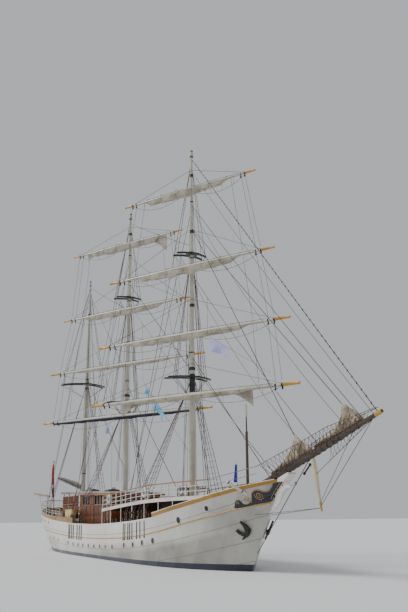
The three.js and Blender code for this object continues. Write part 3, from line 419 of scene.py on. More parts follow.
# %% Cloths, ropes and metals
BRACE = -math.pi / 3               # the turn of the braced yards
CANVAS = sailcloth("weathered_sailcloth", "#C2BAA8", "#7B715E", BRACE, stain=0.6)
NAVY_CANVAS = sailcloth("navy_sailcloth", "#161B36", "#0C0F22", BRACE, stain=0.8)
TAN_CANVAS = sailcloth("tanned_sailcloth", "#C2B49A", "#66583F", math.pi / 2, stain=0.9)
BOOM_CANVAS = sailcloth("weathered_sailcloth_on_the_boom", "#6E665A", "#38332B", math.pi / 2)
SHROUD_WIRE = ropework("served_shroud_wire", "#80605A", "#4E3A36", 0.65)
TARRED_WIRE = ropework("tarred_wire_rope", "#56453C", "#2E2521", 0.6)
RUNNING_ROPE = ropework("running_rope", "#9A9180", "#5E564A")
OLIVE_ROPE = ropework("weathered_hemp", "#8C8465", "#4E4833")
TAN_ROPE = ropework("tanned_lashing", "#6E5A45", "#3A2D22")
BRONZE = tarnished("cast_bronze", "#B48A4A", "#7A5A2C", 0.3)
BRASS = tarnished("polished_brass", "#C9A24E", "#8A6A30", 0.22)
print("cloth, rope and metal ready")

# %% [markdown]
# ## Glass
# Window and porthole glass shows as a dark, sharp gloss. It is drawn as dark panes with a faint
# unevenness in the sheet, because the rooms behind are unlit.

# %% Glass
def window_glass():
    """Dark glass with a slow ripple."""
    material, tree, shader, place = start("window_glass", 0.06)
    ripple = put(tree, "TexNoise", {"Vector": place, "Scale": 1 / (300 * MM), "Detail": 1.0})
    surface(tree, shader, layered(tree, "#10161B", (ripple, "#2A343B")), ripple, 0.1, 3)
    return material


WINDOW_GLASS = window_glass()
print("glass ready")

# %% [markdown]
# ## Helpers for shapes
# Small fittings are turned or sawn, and they are made with the mesh operators that do the same: a
# cone for what is turned, a cube drawn out to a board, a profile spun about an axis. Ropes are
# lines with a thickness: a curve with a round bevel is exactly that, and it is made a mesh at once.
# Cloth is a grid whose points are placed one by one, as a hanging sheet or as a closed roll.

# %% Finish a piece
def finish(name, mesh, material, body):
    """Puts a mesh into the scene in its material, riding on its body."""
    mesh.materials.clear()
    mesh.materials.append(material)
    thing = bpy.data.objects.new(name, mesh)
    bpy.context.scene.collection.objects.link(thing)
    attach(thing, body)
    print(name, len(mesh.polygons), "faces")
    return thing


def piece(name, bm, material, body="root", smooth=True):
    """Turns a bmesh into a finished piece."""
    bmesh.ops.recalc_face_normals(bm, faces=bm.faces)
    mesh = bpy.data.meshes.new(name)
    bm.to_mesh(mesh)
    bm.free()
    if smooth:
        mesh.shade_smooth()
        mesh.set_sharp_from_angle(angle=math.radians(40))
    return finish(name, mesh, material, body)


print("piece finisher ready")

# %% Ropes and coats of paint
def ropes(name, lines, material, body="root", around=1):
    """Ropes along lists of points in the model's metres, each with a radius in ship metres."""
    curve = bpy.data.curves.new(name, "CURVE")
    curve.dimensions = "3D"
    curve.bevel_depth = 1.0
    curve.bevel_resolution = around
    curve.use_fill_caps = True
    for points, radius in lines:
        spline = curve.splines.new("POLY")
        spline.points.add(len(points) - 1)
        for knot, place in zip(spline.points, points):
            knot.co = (*place, 1)
            knot.radius = radius * HALF
    rope = bpy.data.objects.new(name, curve)
    mesh = bpy.data.meshes.new_from_object(rope)
    bpy.data.objects.remove(rope)
    bpy.data.curves.remove(curve)
    mesh.name = name
    mesh.shade_smooth()
    return finish(name, mesh, material, body)


def coat(names, material):
    """Gives solid nodes their finish."""
    for name in names:
        NODES[name].data.materials.clear()
        NODES[name].data.materials.append(material)


print("finishers ready")

# %% Board and turned piece
def facing(axis):
    """The turn that points a tool's own Z along an axis."""
    return axis.to_track_quat("Z", "Y").to_matrix().to_4x4()


def block(bm, middle, size, lean=Matrix.Identity(4)):
    """A cube drawn out to a size about its middle, both in the model's metres."""
    return bmesh.ops.create_cube(bm, size=1, matrix=Matrix.Translation(middle) @ lean
                                 @ Matrix.Diagonal((*size, 1)))["verts"]


def eased(bm, verts, by):
    """Rounds the edges at some vertices by a distance in ship metres."""
    edges = {edge for vert in verts for edge in vert.link_edges}
    bmesh.ops.bevel(bm, geom=list(edges), offset=by * HALF, offset_type="OFFSET", segments=2,
                    profile=0.5, affect="EDGES", material=-1, clamp_overlap=True)


def board(bm, low, high, ease=0.0):
    """A sawn board between two opposite corners in ship metres, with its edges eased."""
    made = block(bm, [(a + b) / 2 * HALF for a, b in zip(low, high)],
                 [abs(b - a) * HALF for a, b in zip(low, high)])
    if ease:
        eased(bm, made, ease)


def turned(bm, low, high, radius, top_radius=None, sides=12):
    """A turned piece between two points, all in ship metres."""
    a, b = at(*low), at(*high)
    bmesh.ops.create_cone(bm, cap_ends=True, segments=sides, radius1=radius * HALF,
                          radius2=(radius if top_radius is None else top_radius) * HALF,
                          depth=(b - a).length, matrix=Matrix.Translation((a + b) / 2) @ facing(b - a))


print("boards and turned pieces ready")

# %% Ball, ring and lathe
def ball(bm, place, radius, stretch=(1, 1, 1), around=10):
    """A ball or a flattened one, in ship metres."""
    bmesh.ops.create_uvsphere(bm, u_segments=around, v_segments=around // 2 + 1,
                              radius=radius * HALF,
                              matrix=Matrix.Translation(at(*place)) @ Matrix.Diagonal((*stretch, 1)))


def ring(bm, place, axis, radius, thick, steps=20, sides=8):
    """A round ring about an axis through a place in the model's metres. Sizes are ship metres."""
    across = axis.orthogonal().normalized()
    made = bmesh.ops.create_circle(bm, segments=sides, radius=thick * HALF,
                                   matrix=Matrix.Translation(place + across * radius * HALF)
                                   @ facing(across.cross(axis)))
    edges = {edge for vert in made["verts"] for edge in vert.link_edges}
    bmesh.ops.spin(bm, geom=made["verts"] + list(edges), cent=place, axis=axis,
                   angle=math.tau, steps=steps, use_merge=True, dvec=(0, 0, 0))


def lathe(bm, profile, root, along, sides=16):
    """Spins (distance, radius) pairs in ship metres about a line through a place."""
    across = along.orthogonal().normalized()
    verts = [bm.verts.new(root + along * far * HALF + across * radius * HALF)
             for far, radius in profile]
    edges = [bm.edges.new(pair) for pair in zip(verts, verts[1:])]
    bmesh.ops.spin(bm, geom=verts + edges, cent=root, axis=along, angle=math.tau, steps=sides,
                   use_merge=True, dvec=(0, 0, 0))
    bmesh.ops.remove_doubles(bm, verts=bm.verts, dist=0.0004)


print("spun pieces ready")

# %% Lines, rolls and sheets
def rows(table, x):
    """A value from rows of (x, value), straight between them."""
    for (x0, v0), (x1, v1) in zip(table, table[1:]):
        if x <= x1 or (x1, v1) == table[-1]:
            return v0 + (v1 - v0) * (x - x0) / (x1 - x0)


def sagging(a, b, drop, steps=10):
    """Points of a rope from a to b in the model's metres, that hangs by drop ship metres."""
    return [a.lerp(b, i / steps) - Vector((0, 0, drop * HALF * 4 * i / steps * (1 - i / steps)))
            for i in range(steps + 1)]


def hoop(place):
    """Points round a tie, from the cosine and the sine at each of its steps."""
    return [place(math.cos(a), math.sin(a)) for a in (i / 16 * math.tau for i in range(17))]


def rolled(long, around, place):
    """A closed roll: a grid placed by its length from -1 to 1 and by the angle round it."""
    bm = bmesh.new()
    bmesh.ops.create_grid(bm, x_segments=long, y_segments=around, size=1)
    for vert in bm.verts:
        vert.co = place(vert.co.x, (vert.co.y + 1) * math.pi)
    bmesh.ops.remove_doubles(bm, verts=bm.verts, dist=0.0005)
    bmesh.ops.holes_fill(bm, edges=[edge for edge in bm.edges if edge.is_boundary])
    return bm


def draped(wide, down, place, chart=None):
    """A sheet and its area: u runs across it and v down it, from 0 to 1, and so does its chart."""
    bm = bmesh.new()
    bmesh.ops.create_grid(bm, x_segments=wide, y_segments=down, size=1)
    if chart:
        uv = bm.loops.layers.uv.new(chart)
        for loop in (loop for face in bm.faces for loop in face.loops):
            loop[uv].uv = ((loop.vert.co.x + 1) / 2, (loop.vert.co.y + 1) / 2)
    for vert in bm.verts:
        vert.co = place((vert.co.x + 1) / 2, (1 - vert.co.y) / 2)
    return bm, sum(face.calc_area() for face in bm.faces)


print("shape helpers ready")

# %% Skins to set pieces on
def skin_of(node):
    """A solid node's surface, to be met by rays."""
    bm = bmesh.new()
    bm.from_mesh(NODES[node].data)
    tree = BVHTree.FromBMesh(bm)
    bm.free()
    return tree


HULL_SKIN = skin_of("hull")


def hull_hit(x, z, side):
    """Place and normal where a ray from abeam meets the hull, or None twice."""
    return HULL_SKIN.ray_cast(at(x, side * 8, z), Vector((0, -side, 0)))[:2]


def on_hull(x, z, side, off=0.0):
    """The hull's side at a length and height in ship metres, off its skin by a distance."""
    place, normal = hull_hit(x, z, side)
    if place is None:
        place, normal = HULL_SKIN.find_nearest(at(x, side * 0.15, z))[:2]
    return place + normal * off * HALF


print("half breadth amidships", round(abs(on_hull(0, 0.5, -1).y) / HALF, 2), "m")

# %% [markdown]
# ## Finishes for the solid pieces
# The nodes whose shapes are right keep them, and each takes the material of the real piece.

# %% Finishes of the solid nodes
FINISHES = {
    HULL_PLATING: ["hull"],
    SCRUBBED_TEAK: ["deck"],
    OCHRE_ENAMEL: ["bulwark_fore_port", "bulwark_fore_starboard", "bulwark_aft"],
    PALE_YELLOW_ENAMEL: ["dolphin_striker"],
    OILED_POST: ["foredeck_post"],
    MAHOGANY_UPRIGHT: ["deckhouse_wall_port", "deckhouse_wall_starboard", "deckhouse_wall_fore",
                       "deckhouse_wall_aft", "door_port", "door_starboard", "helm",
                       "ensign_staff"],
    CREAM_ENAMEL: ["fore_topmast", "main_topmast", "mizzen_mast", "mizzen_topmast"],
    ROOF_ENAMEL: ["deckhouse_roof"],
    BLACK_ENAMEL: ["fore_crosstree", "main_crosstree", "mizzen_crosstree", "rudder",
                   "anchor_port", "anchor_starboard"],
    DARK_SPAR: ["bowsprit", "spanker_boom"],
    BRONZE: ["propeller"],
    TARRED_WIRE: ["fore_stay", "jib_stays", "fore_royal_stay", "main_stay", "main_topmast_stay",
                  "mizzen_stay", "bobstay"],
}
for material, names in FINISHES.items():
    coat(names, material)
print("finished", sum(len(names) for names in FINISHES.values()), "nodes")

# %% [markdown]
# ## Yards
# A square-rigger's yards are round spars, thickest in the middle. These are cream, with a black
# band, a white band and a yellow tip at each arm. The bands are part of the paint, so the material
# paints them by the distance along the yard, which a Mapping node turns with the braced yard.

# %% Yard table
MAST_X = {"fore": 13.3, "main": -0.7, "mizzen": -13.2}
TRUSS = 0.75                       # the yards' distance ahead of their mast
YARDS = [
    # mast, level, height, half length, radius, sail depth in the middle, sail depth at the ends
    ("fore", "course", 11.82, 9.29, 0.19, 0.30, 0.16),
    ("fore", "topsail", 16.5, 8.77, 0.17, 0.32, 0.14),
    ("fore", "topgallant", 21.87, 7.73, 0.15, 0.42, 0.13),
    ("fore", "royal", 28.36, 6.34, 0.13, 0.44, 0.12),
    ("main", "course", 11.99, 9.79, 0.19, 0.30, 0.16),
    ("main", "topsail", 16.72, 9.09, 0.17, 0.16, 0.12),
    ("main", "topgallant", 21.97, 7.68, 0.15, 0.38, 0.13),
    ("main", "royal", 28.53, 6.79, 0.13, 0.46, 0.12),
]
YARD_ROWS = {row[:2]: row[2:5] for row in YARDS}
YARD_TAPER = [(0, 0.35), (0.07, 0.55), (0.3, 0.92), (0.5, 1), (0.7, 0.92), (0.93, 0.55), (1, 0.35)]
BAND_STOPS = [(0.0, "#D6D2C3"), (0.795, "#191919"), (0.81, "#E4E2DA"), (0.85, "#191919"),
              (0.868, "#DCA01F")]


def on_yard(mast, ahead, along, z):
    """A point ahead of the mast and along the braced yard, as a place in the model's metres."""
    return at(MAST_X[mast] + ahead * math.cos(BRACE) - along * math.sin(BRACE),
              ahead * math.sin(BRACE) + along * math.cos(BRACE), z)


def taper(share):
    """A yard's thickness at a share of its half length, as a share of its thickness in the middle."""
    return rows(YARD_TAPER, (1 + share) / 2)


print("yards", len(YARDS))

# %% Yard paint
def yard_paint(name, mast, half):
    """Cream enamel with banded arms, by the distance from the mast along the yard."""
    material, tree, shader, place = start(name, 0.34, coat=0.15)
    braced = put(tree, "Mapping", {"Vector": place, "Location": at(MAST_X[mast], 0, 0),
                                   "Rotation": (0, 0, BRACE)}, vector_type="TEXTURE")
    along = put(tree, "SeparateXYZ", {"Vector": braced}).outputs["Y"]
    distance = put(tree, "Math", {0: along}, operation="ABSOLUTE")
    share = put(tree, "Math", {0: distance, 1: half * HALF}, operation="DIVIDE")
    chalk = patches(tree, place, 400, 4.0, 0.4, 0.7, 0.35)
    surface(tree, shader, layered(tree, banded(tree, share, BAND_STOPS), (chalk, "#A89F88")),
            grain(tree, braced, (12, 600, 12), 2.0), 0.15, 2)
    return material


for mast, level, z, half, *_ in YARDS:
    coat([f"{mast}_{level}_yard"], yard_paint(f"banded_enamel_{mast}_{level}", mast, half))
print("yards painted", len(YARDS))

# %% [markdown]
# ## Furled square sails
# A furled sail is a long roll of canvas, gathered up to the yard and tied round it with gaskets
# a metre and a half apart. Between gaskets the cloth bulges and its folds run along the yard. A
# grid is rolled into the solid's own section, then drawn in at each gasket and roughened with noise
# that is stretched along the yard. Outside two thirds of the yard the roll is thin, except on the
# navy main course. The upper sails hang a little deeper in the middle than their solids.

# %% How a furled sail hangs
GASKET_STEP = 1.6                  # m on the ship
SAIL_SPAN = 0.86                   # share of the yard that carries sail
BELLY_END = 0.66                   # share of the yard beyond which the roll is thin
SAG = 1.45                         # how much deeper the upper sails hang than their solids


def hang(share, reach, middle, end, fullness):
    """Depth of a furled sail below its yard's axis at a share of its half length."""
    sag = math.cos(share * math.pi / 2) ** 0.8
    slack = min(1, max(0, (reach - abs(share) * SAIL_SPAN) / 0.12))
    return 0.09 + (end + (middle - end) * sag + 0.01) * slack * fullness


def depth_of_roll(share, along, reach):
    """How thick the roll is fore and aft, beyond its thin ends."""
    belly = math.cos(share * math.pi / 2) ** 2
    return (0.02 + 0.06 * belly) * min(1, max(0, (reach - abs(along)) / 0.12))


print("gaskets every", GASKET_STEP, "m")

# %% Furled sails
def furled_sail(mast, level, z, half, radius, middle, end):
    """A sail rolled along its yard, and the gaskets round both."""
    gaskets = max(4, round(2 * SAIL_SPAN * half / GASKET_STEP))
    seed = Vector((z, half, MAST_X[mast]))
    navy = (mast, level) == ("main", "course")
    middle *= 1 if level == "course" else SAG
    fullness, reach = (0.85, 0.98) if navy else (1.0, BELLY_END)

    def canvas_at(share, a):
        along, rise = share * SAIL_SPAN, math.sin(a)
        deep = hang(share, reach, middle, end, fullness)
        thick = 0.055 + depth_of_roll(share, along, reach)
        edge = TRUSS + taper(along) * radius + 0.006
        pinch = abs(math.sin((share + 1) / 2 * gaskets * math.pi))
        bulge = 0.86 + 0.14 * pinch ** 0.6
        fold = noise.noise(Vector((along * half * 0.9, math.cos(a) * 2.2, rise * 2.2)) + seed)
        crease = noise.noise(Vector((along * half * 2.6, math.cos(a) * 5, rise * 5)) + seed)
        swell = bulge * (1 + 0.12 * fold + 0.07 * crease)
        drop = deep * swell * (1 + 0.1 * noise.noise(Vector((along * half * 1.3, 0, 0)) + seed))
        closing = 1 if abs(share) < 0.985 else 0.35
        ahead = thick * (1 + math.cos(a)) * (0.9 if math.cos(a) < 0 else swell) * closing
        height = z - (0.11 * (1 - max(0, rise)) + rise * (drop if rise > 0 else 0.02)) * closing
        return on_yard(mast, edge + ahead, along * half, height)

    sail = piece(f"{mast}_{level}_furled_sail", rolled(150, 28, canvas_at),
                 NAVY_CANVAS if navy else CANVAS, f"{mast}_{level}")
    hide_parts(f"{mast}_{level}_sail")
    ties = []
    for i in range(gaskets + 1):
        share = -1 + 2 * i / gaskets
        along = share * 0.85
        deep = hang(share, reach, middle, end, 0.95)
        spar = taper(along) * radius
        back = TRUSS - spar - 0.012
        front = TRUSS + spar + 2 * (0.06 + depth_of_roll(share, along, reach)) + 0.02
        ties.append((hoop(lambda c, s: on_yard(
            mast, (back + front) / 2 + (front - back) / 2 * c, along * half,
            z - (deep if s > 0 else spar + 0.04) * s)), 0.010))
    ropes(f"{mast}_{level}_gaskets", ties, RUNNING_ROPE, f"{mast}_{level}")


for row in YARDS:
    furled_sail(*row)

# %% [markdown]
# ## Clews and yardarms
# A few corners of the sails have worked loose and hang below their yards as small triangles.
# Outside the last black band the yardarm is a bright yellow sleeve, a little thicker than the spar
# that it shoes. A jackstay, the thin rod that the sail is tied to, runs along the top of each yard.
# The sleeves are turned, with an eased lip at each end, and the jackstay is a rod on small eyes.

# %% Clews
# mast, level, shares of the yard at the near and far end of the corner, drop in ship metres
CLEWS = [("main", "royal", 0.38, 0.74, 1.6), ("main", "royal", -0.5, -0.7, 0.9),
         ("fore", "course", 0.41, 0.61, 1.15), ("fore", "course", -0.42, -0.66, 0.95)]
for i, (mast, level, inner, outer, drop) in enumerate(CLEWS):
    z, half, radius = YARD_ROWS[mast, level]

    def corner_at(u, v):
        along = inner + (outer - inner) * u
        return on_yard(mast, TRUSS + 0.02 + 0.05 * math.sin(u * 9 + i) * v, along * half,
                       z - taper(along) * radius - 0.012 - drop * v * (0.06 + 0.94 * u ** 1.7))

    bm, area = draped(14, 12, corner_at)
    wide = abs(outer - inner) * half * HALF
    clew = piece(f"{mast}_{level}_clew_{i}", bm, CANVAS, f"{mast}_{level}")

# %% Yardarm sleeves and jackstays
SLEEVE_START = 0.868               # share of the yard's half length
for mast, level, z, half, radius, *_ in YARDS:
    sleeves, rods = bmesh.new(), []
    for side in (-1, 1):
        root = on_yard(mast, TRUSS, side * SLEEVE_START * half, z)
        along = (on_yard(mast, TRUSS, side * half, z) - root).normalized()
        long = 0.132 * half + 0.03
        foot = rows(YARD_TAPER, 0.934) * radius + 0.02
        lathe(sleeves, [(0, 0), (0, foot), (0.02, foot + 0.012), (0.06, foot + 0.012),
                        (0.08, foot), (long - 0.12, foot * 0.78), (long - 0.1, foot * 0.86),
                        (long - 0.03, foot * 0.86), (long, foot * 0.6), (long, 0)], root, along)
        top = [on_yard(mast, TRUSS + 0.03, side * share * half, z + taper(share) * radius + 0.03)
               for share in (0.04, 0.2, 0.4, 0.6, 0.78)]
        rods.append((top, 0.014))
        rods += [([spot, spot - Vector((0, 0, 0.04 * HALF))], 0.012) for spot in top]
    piece(f"{mast}_{level}_yardarm_sleeves", sleeves, YELLOW_ENAMEL, f"{mast}_{level}")
    ropes(f"{mast}_{level}_jackstay", rods, TARRED_WIRE, f"{mast}_{level}")

# %% [markdown]
# ## Furled headsails
# The jibs lie along the bowsprit, dropped and lashed, and their heads still climb the stays a
# little, in a limp peak. The bundles are rolled from a grid in the same way, with folds that run up
# towards the peak.

# %% Bowsprit
SPRIT_HEEL, SPRIT_TIP = (22.6, 4.88), (34.66, 8.08)
SPRIT_SLOPE = (SPRIT_TIP[1] - SPRIT_HEEL[1]) / (SPRIT_TIP[0] - SPRIT_HEEL[0])


def sprit_axis(x):
    """Height of the bowsprit's axis at a length."""
    return SPRIT_HEEL[1] + (x - SPRIT_HEEL[0]) * SPRIT_SLOPE


def sprit_radius(x):
    """The bowsprit's radius, which tapers ahead of x = 28.6."""
    return 0.22 if x < 28.6 else 0.22 - 0.11 * (x - 28.6) / 5.8


def sprit_top(x):
    """Height of the bowsprit's upper edge."""
    return sprit_axis(x) + sprit_radius(x) * 1.05


print("bowsprit rises", round(SPRIT_SLOPE, 3), "m in a metre")

# %% Furled headsails
def headsail(name, table, seed):
    """A dropped jib: rows of x, height and half width, rolled from a grid."""
    height = [(x, tall) for x, tall, wide in table]
    width = [(x, wide) for x, tall, wide in table]
    aft, fore = table[0][0], table[-1][0]

    def canvas_at(share, a):
        x = aft + (fore - aft) * (share + 1) / 2
        tall, wide = rows(height, x), rows(width, x)
        up = (1 + math.sin(a)) / 2
        fold = noise.noise(Vector((x * 1.9 + up * 1.5, math.cos(a) * 2, seed)))
        crease = noise.noise(Vector((x * 5.5 - up * 4, math.cos(a) * 3.5, up * 1.5 + seed)))
        swell = (1 + 0.35 * fold + 0.35 * crease) * (0.5 if abs(share) > 0.985 else 1)
        top = 0.97 + 0.1 * crease * (1 - 0.6 * (tall > 1.2))
        return at(x, math.cos(a) * wide * swell * (1 - 0.5 * up * (tall > 0.6)),
                  sprit_top(x) + 0.012 + tall * up * top)

    sail = piece(name + "_sail", rolled(150, 36, canvas_at), TAN_CANVAS)
    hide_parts(name)
    ties = []
    for i in range(8):
        x = aft + (fore - aft) * (i + 0.6) / 8.2
        tall, wide, spar = min(rows(height, x), 0.75) * 0.9, rows(width, x) * 1.15, sprit_radius(x)
        middle = sprit_axis(x) + (tall - spar) / 2 + spar * 0.5
        ties.append((hoop(lambda c, s: at(x, max(wide, spar + 0.02) * c,
                                          middle + (tall / 2 + spar + 0.03) * s)), 0.016))
    ropes(name + "_lashings", ties, TAN_ROPE)


INNER_JIB = [(24.35, 0.12, 0.1), (25.4, 0.25, 0.18), (26.3, 0.42, 0.26), (26.7, 0.8, 0.24),
             (26.88, 1.42, 0.1), (27.2, 1.15, 0.16), (27.6, 0.85, 0.22), (28.1, 0.45, 0.2),
             (28.5, 0.2, 0.12)]
OUTER_JIB = [(28.9, 0.12, 0.14), (30.3, 0.2, 0.22), (31.0, 0.3, 0.26), (31.45, 0.6, 0.24),
             (31.52, 1.42, 0.1), (31.8, 1.3, 0.12), (32.35, 0.85, 0.18), (32.85, 0.35, 0.16),
             (33.1, 0.12, 0.1)]
headsail("inner_jib_bundle", INNER_JIB, 3)
headsail("outer_jib_bundle", OUTER_JIB, 8)

# %% [markdown]
# ## Furled spanker
# The spanker is brailed in and lashed along the top of its boom, so it swings with the boom. It is
# rolled like the others, over the boom's own slope.

# %% Furled spanker
BUNDLE_HEIGHT = [(0.05, 0.2), (0.17, 0.3), (0.3, 0.3), (0.55, 0.24), (0.8, 0.18), (0.93, 0.1)]
BUNDLE_WIDTH = [(0.05, 0.1), (0.17, 0.16), (0.3, 0.17), (0.55, 0.15), (0.8, 0.12), (0.93, 0.07)]
BOOM_ROOT, BOOM_TIP = (-13.42, 6.05), (-23.1, 7.6)
BOOM_RADIUS = 0.13


def boom_top(share):
    """Length and height of the boom's upper edge at a share of the boom."""
    x = BOOM_ROOT[0] + (BOOM_TIP[0] - BOOM_ROOT[0]) * share
    radius = BOOM_RADIUS * rows([(0, 0.7), (0.3, 1), (0.8, 0.85), (1, 0.5)], share)
    return x + radius * 0.158, BOOM_ROOT[1] + (BOOM_TIP[1] - BOOM_ROOT[1]) * share + radius * 0.987


def spanker_at(run, a):
    """A point of the roll, by its length from -1 to 1 and the angle round it."""
    share = 0.05 + 0.88 * (run + 1) / 2
    tall, wide = rows(BUNDLE_HEIGHT, share), rows(BUNDLE_WIDTH, share)
    x, z = boom_top(share)
    pinch = abs(math.sin((share - 0.05) / 0.88 * 9 * math.pi))
    fold = noise.noise(Vector((share * 9, math.cos(a) * 2, math.sin(a) * 2)))
    crease = noise.noise(Vector((share * 30, math.cos(a) * 5, math.sin(a) * 5 + 4)))
    swell = (0.8 + 0.2 * pinch ** 0.6) * (1 + 0.12 * fold + 0.07 * crease)
    swell *= 0.5 if abs(run) > 0.985 else 1
    return at(x, -math.cos(a) * wide * swell, z + 0.015 + tall * swell * (1 + math.sin(a)) / 2)


spanker = piece("furled_spanker", rolled(130, 28, spanker_at), BOOM_CANVAS, "spanker")
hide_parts("spanker_sail")
ties = []
for i in range(10):
    share = 0.06 + 0.86 * i / 9
    tall, wide = rows(BUNDLE_HEIGHT, share) * 0.86, rows(BUNDLE_WIDTH, share) * 0.9
    x, z = boom_top(share)
    middle = z + (tall - 2 * BOOM_RADIUS) / 2
    ties.append((hoop(lambda c, s: at(x, max(wide, BOOM_RADIUS + 0.01) * c,
                                      middle + (tall / 2 + BOOM_RADIUS + 0.02) * s)), 0.018))
ropes("spanker_gaskets", ties, RUNNING_ROPE, "spanker")

# %% [markdown]
# ## Ensign
# The ensign hangs limp from its staff at the stern. A hanging flag gathers into upright pleats that
# open towards the fly. The sheet is a grid: one way down the staff, the other way folded to and
# fro, so its area stays that of the flat cloth. Three plain bands of colour, red, white and
# blue, are drawn on the cloth's own UV map, so they follow the folds. Hung like this, it shows red.

# %% Ensign
def bunting(name, colour, faded, most, size):
    """Worsted bunting: a thin woven cloth, faded in patches. A list of bands goes by its UV map."""
    material, tree, shader, place = start(name, 0.8, sheen=0.3)
    shade = patches(tree, place, size, 4.0, 0.35, 0.7, most)
    if isinstance(colour, list):
        chart = put(tree, "SeparateXYZ", {"Vector": put(tree, "UVMap", {}, uv_map="cloth")}).outputs
        inner = put(tree, "Math", {0: 1.0, 1: chart["X"]}, operation="SUBTRACT")
        lower = put(tree, "MapRange", {"Value": chart["Y"], 1: 0.65, 2: 0.25})
        share = put(tree, "Math", {0: inner, 1: lower}, operation="MULTIPLY")
        colour = banded(tree, share, colour)
    surface(tree, shader, layered(tree, colour, (shade, faded)), shade, 0.2, 3)
    return material


ENSIGN_BANDS = [(0.0, "#C22A26"), (0.55, "#D9D7D2"), (0.76, "#26376B")]
STAFF_FOOT, STAFF_HEAD = (-24.35, 4.32), (-25.3, 9.7)
PLEATS = 7
ENSIGN_TOP, ENSIGN_LOW = 9.3, 5.5


def ensign_place(u, v):
    """u runs out from the staff and v down it, both from 0 to 1."""
    z = ENSIGN_TOP + (ENSIGN_LOW - ENSIGN_TOP) * v
    share = (z - STAFF_FOOT[1]) / (STAFF_HEAD[1] - STAFF_FOOT[1])
    behind = STAFF_FOOT[0] + (STAFF_HEAD[0] - STAFF_FOOT[0]) * share - 0.06
    grow = rows([(0, 0.45), (0.15, 0.75), (0.5, 1), (0.85, 0.95), (1, 0.7)], v)
    fold = math.sin(u * PLEATS * math.pi + 0.6 * math.sin(v * 5 + u * 3))
    reach = 0.64 * grow * (u + 0.05 * math.sin(v * 7))
    return at(behind - reach - 0.01, 0.13 * grow * fold * min(1, u * 6),
              z - 0.05 * math.sin(u * 9) * v)


bm, ENSIGN_AREA = draped(84, 60, ensign_place, "cloth")
BUNTING = bunting("worsted_bunting", ENSIGN_BANDS, "#6B6A6E", 0.35, 200)
ensign = piece("ensign_cloth", bm, BUNTING)
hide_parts("ensign")

# %% [markdown]
# ## Mast bands
# A wooden or steel mast carries iron bands where the rigging lands on it: at the hounds, where the
# shrouds come together, at the cap that holds the topmast, and under the truck. They are turned
# rings, painted black, with a brown collar of served rope under every second one. The black ball
# at the very top is the truck.

# %% Mast bands and trucks
MASTS = {
    # x, top of the lower mast, top of the topmast, radius at the foot, the cap and the top
    "fore": (13.3, 14.1, 32.2, 0.24, 0.21, 0.09),
    "main": (-0.7, 14.1, 32.0, 0.24, 0.21, 0.09),
    "mizzen": (-13.2, 17.6, 28.7, 0.22, 0.17, 0.08),
}
BANDS = {
    "fore": [12.7, 14.02, 15.2, 19.0, 22.8, 25.1, 27.6, 30.0],
    "main": [12.7, 14.02, 15.3, 19.0, 23.0, 25.1, 27.6, 29.9],
    "mizzen": [7.6, 16.6, 17.5, 24.8, 27.6],
}


def mast_radius(mast, z):
    """A mast's radius at a height."""
    x, head, truck, foot, cap, top = MASTS[mast]
    if z < head:
        return rows([(3, foot), (8.5, foot), (head, cap)], z)
    share = (z - head) / (truck - head)
    return rows([(0, cap * 0.8), (0.45, cap * 0.72), (0.97, top)], min(share, 0.97))


bands, collars, trucks = bmesh.new(), bmesh.new(), bmesh.new()
for mast, (x, head, truck, foot, cap, top) in MASTS.items():
    for i, z in enumerate(BANDS[mast]):
        radius = mast_radius(mast, z)
        turned(bands, (x, 0, z - 0.035), (x, 0, z + 0.035), radius + 0.03, sides=20)
        if i % 2:
            turned(collars, (x, 0, z - 0.2), (x, 0, z - 0.04), radius + 0.03, radius + 0.04, 20)
    turned(trucks, (x, 0, truck - 0.62), (x, 0, truck - 0.56), top * 1.7, sides=16)
    ball(trucks, (x, 0, truck - 0.1), top * 1.5, (1, 1, 0.9))
piece("mast_bands", bands, BLACK_ENAMEL)
piece("mast_collars", collars, TARRED_WIRE)
piece("mast_trucks", trucks, BLACK_ENAMEL)

# %% Mast paint
def mast_paint(name, black_from, black_to):
    """Cream enamel with the doubling, where mast and topmast overlap, painted black."""
    material, tree, shader, place = start(name, 0.34, coat=0.15)
    height = put(tree, "SeparateXYZ", {"Vector": place}).outputs["Z"]
    over = put(tree, "Math", {0: height, 1: black_from * HALF}, operation="GREATER_THAN")
    under = put(tree, "Math", {0: height, 1: black_to * HALF}, operation="LESS_THAN")
    black = put(tree, "Math", {0: over, 1: under}, operation="MULTIPLY")
    chalk = patches(tree, place, 600, 4.0, 0.42, 0.68, 0.6)
    iron = layered(tree, "#19191B", (chalk, "#302F2D"))
    surface(tree, shader, layered(tree, "#C4C0AF", (chalk, "#9E9886"), (black, iron)),
            grain(tree, place, UPRIGHT_BRUSH, 2.0), 0.15, 2)
    return material


coat(["fore_mast", "main_mast"], mast_paint("cream_enamel_with_black_doubling", 12.15, 13.55))
print("masts painted")

# %% [markdown]
# ## Shrouds and ratlines
# Shrouds hold each mast sideways. The lower ones run from the hounds to the ship's side, the next
# ones from the crosstree's arms to the topmast, and so on up. Ratlines are the rungs that are tied
# across them, some 400 mm apart, for climbing. All of them are wires or ropes between
# known points, so tables of points and one rope helper make them.

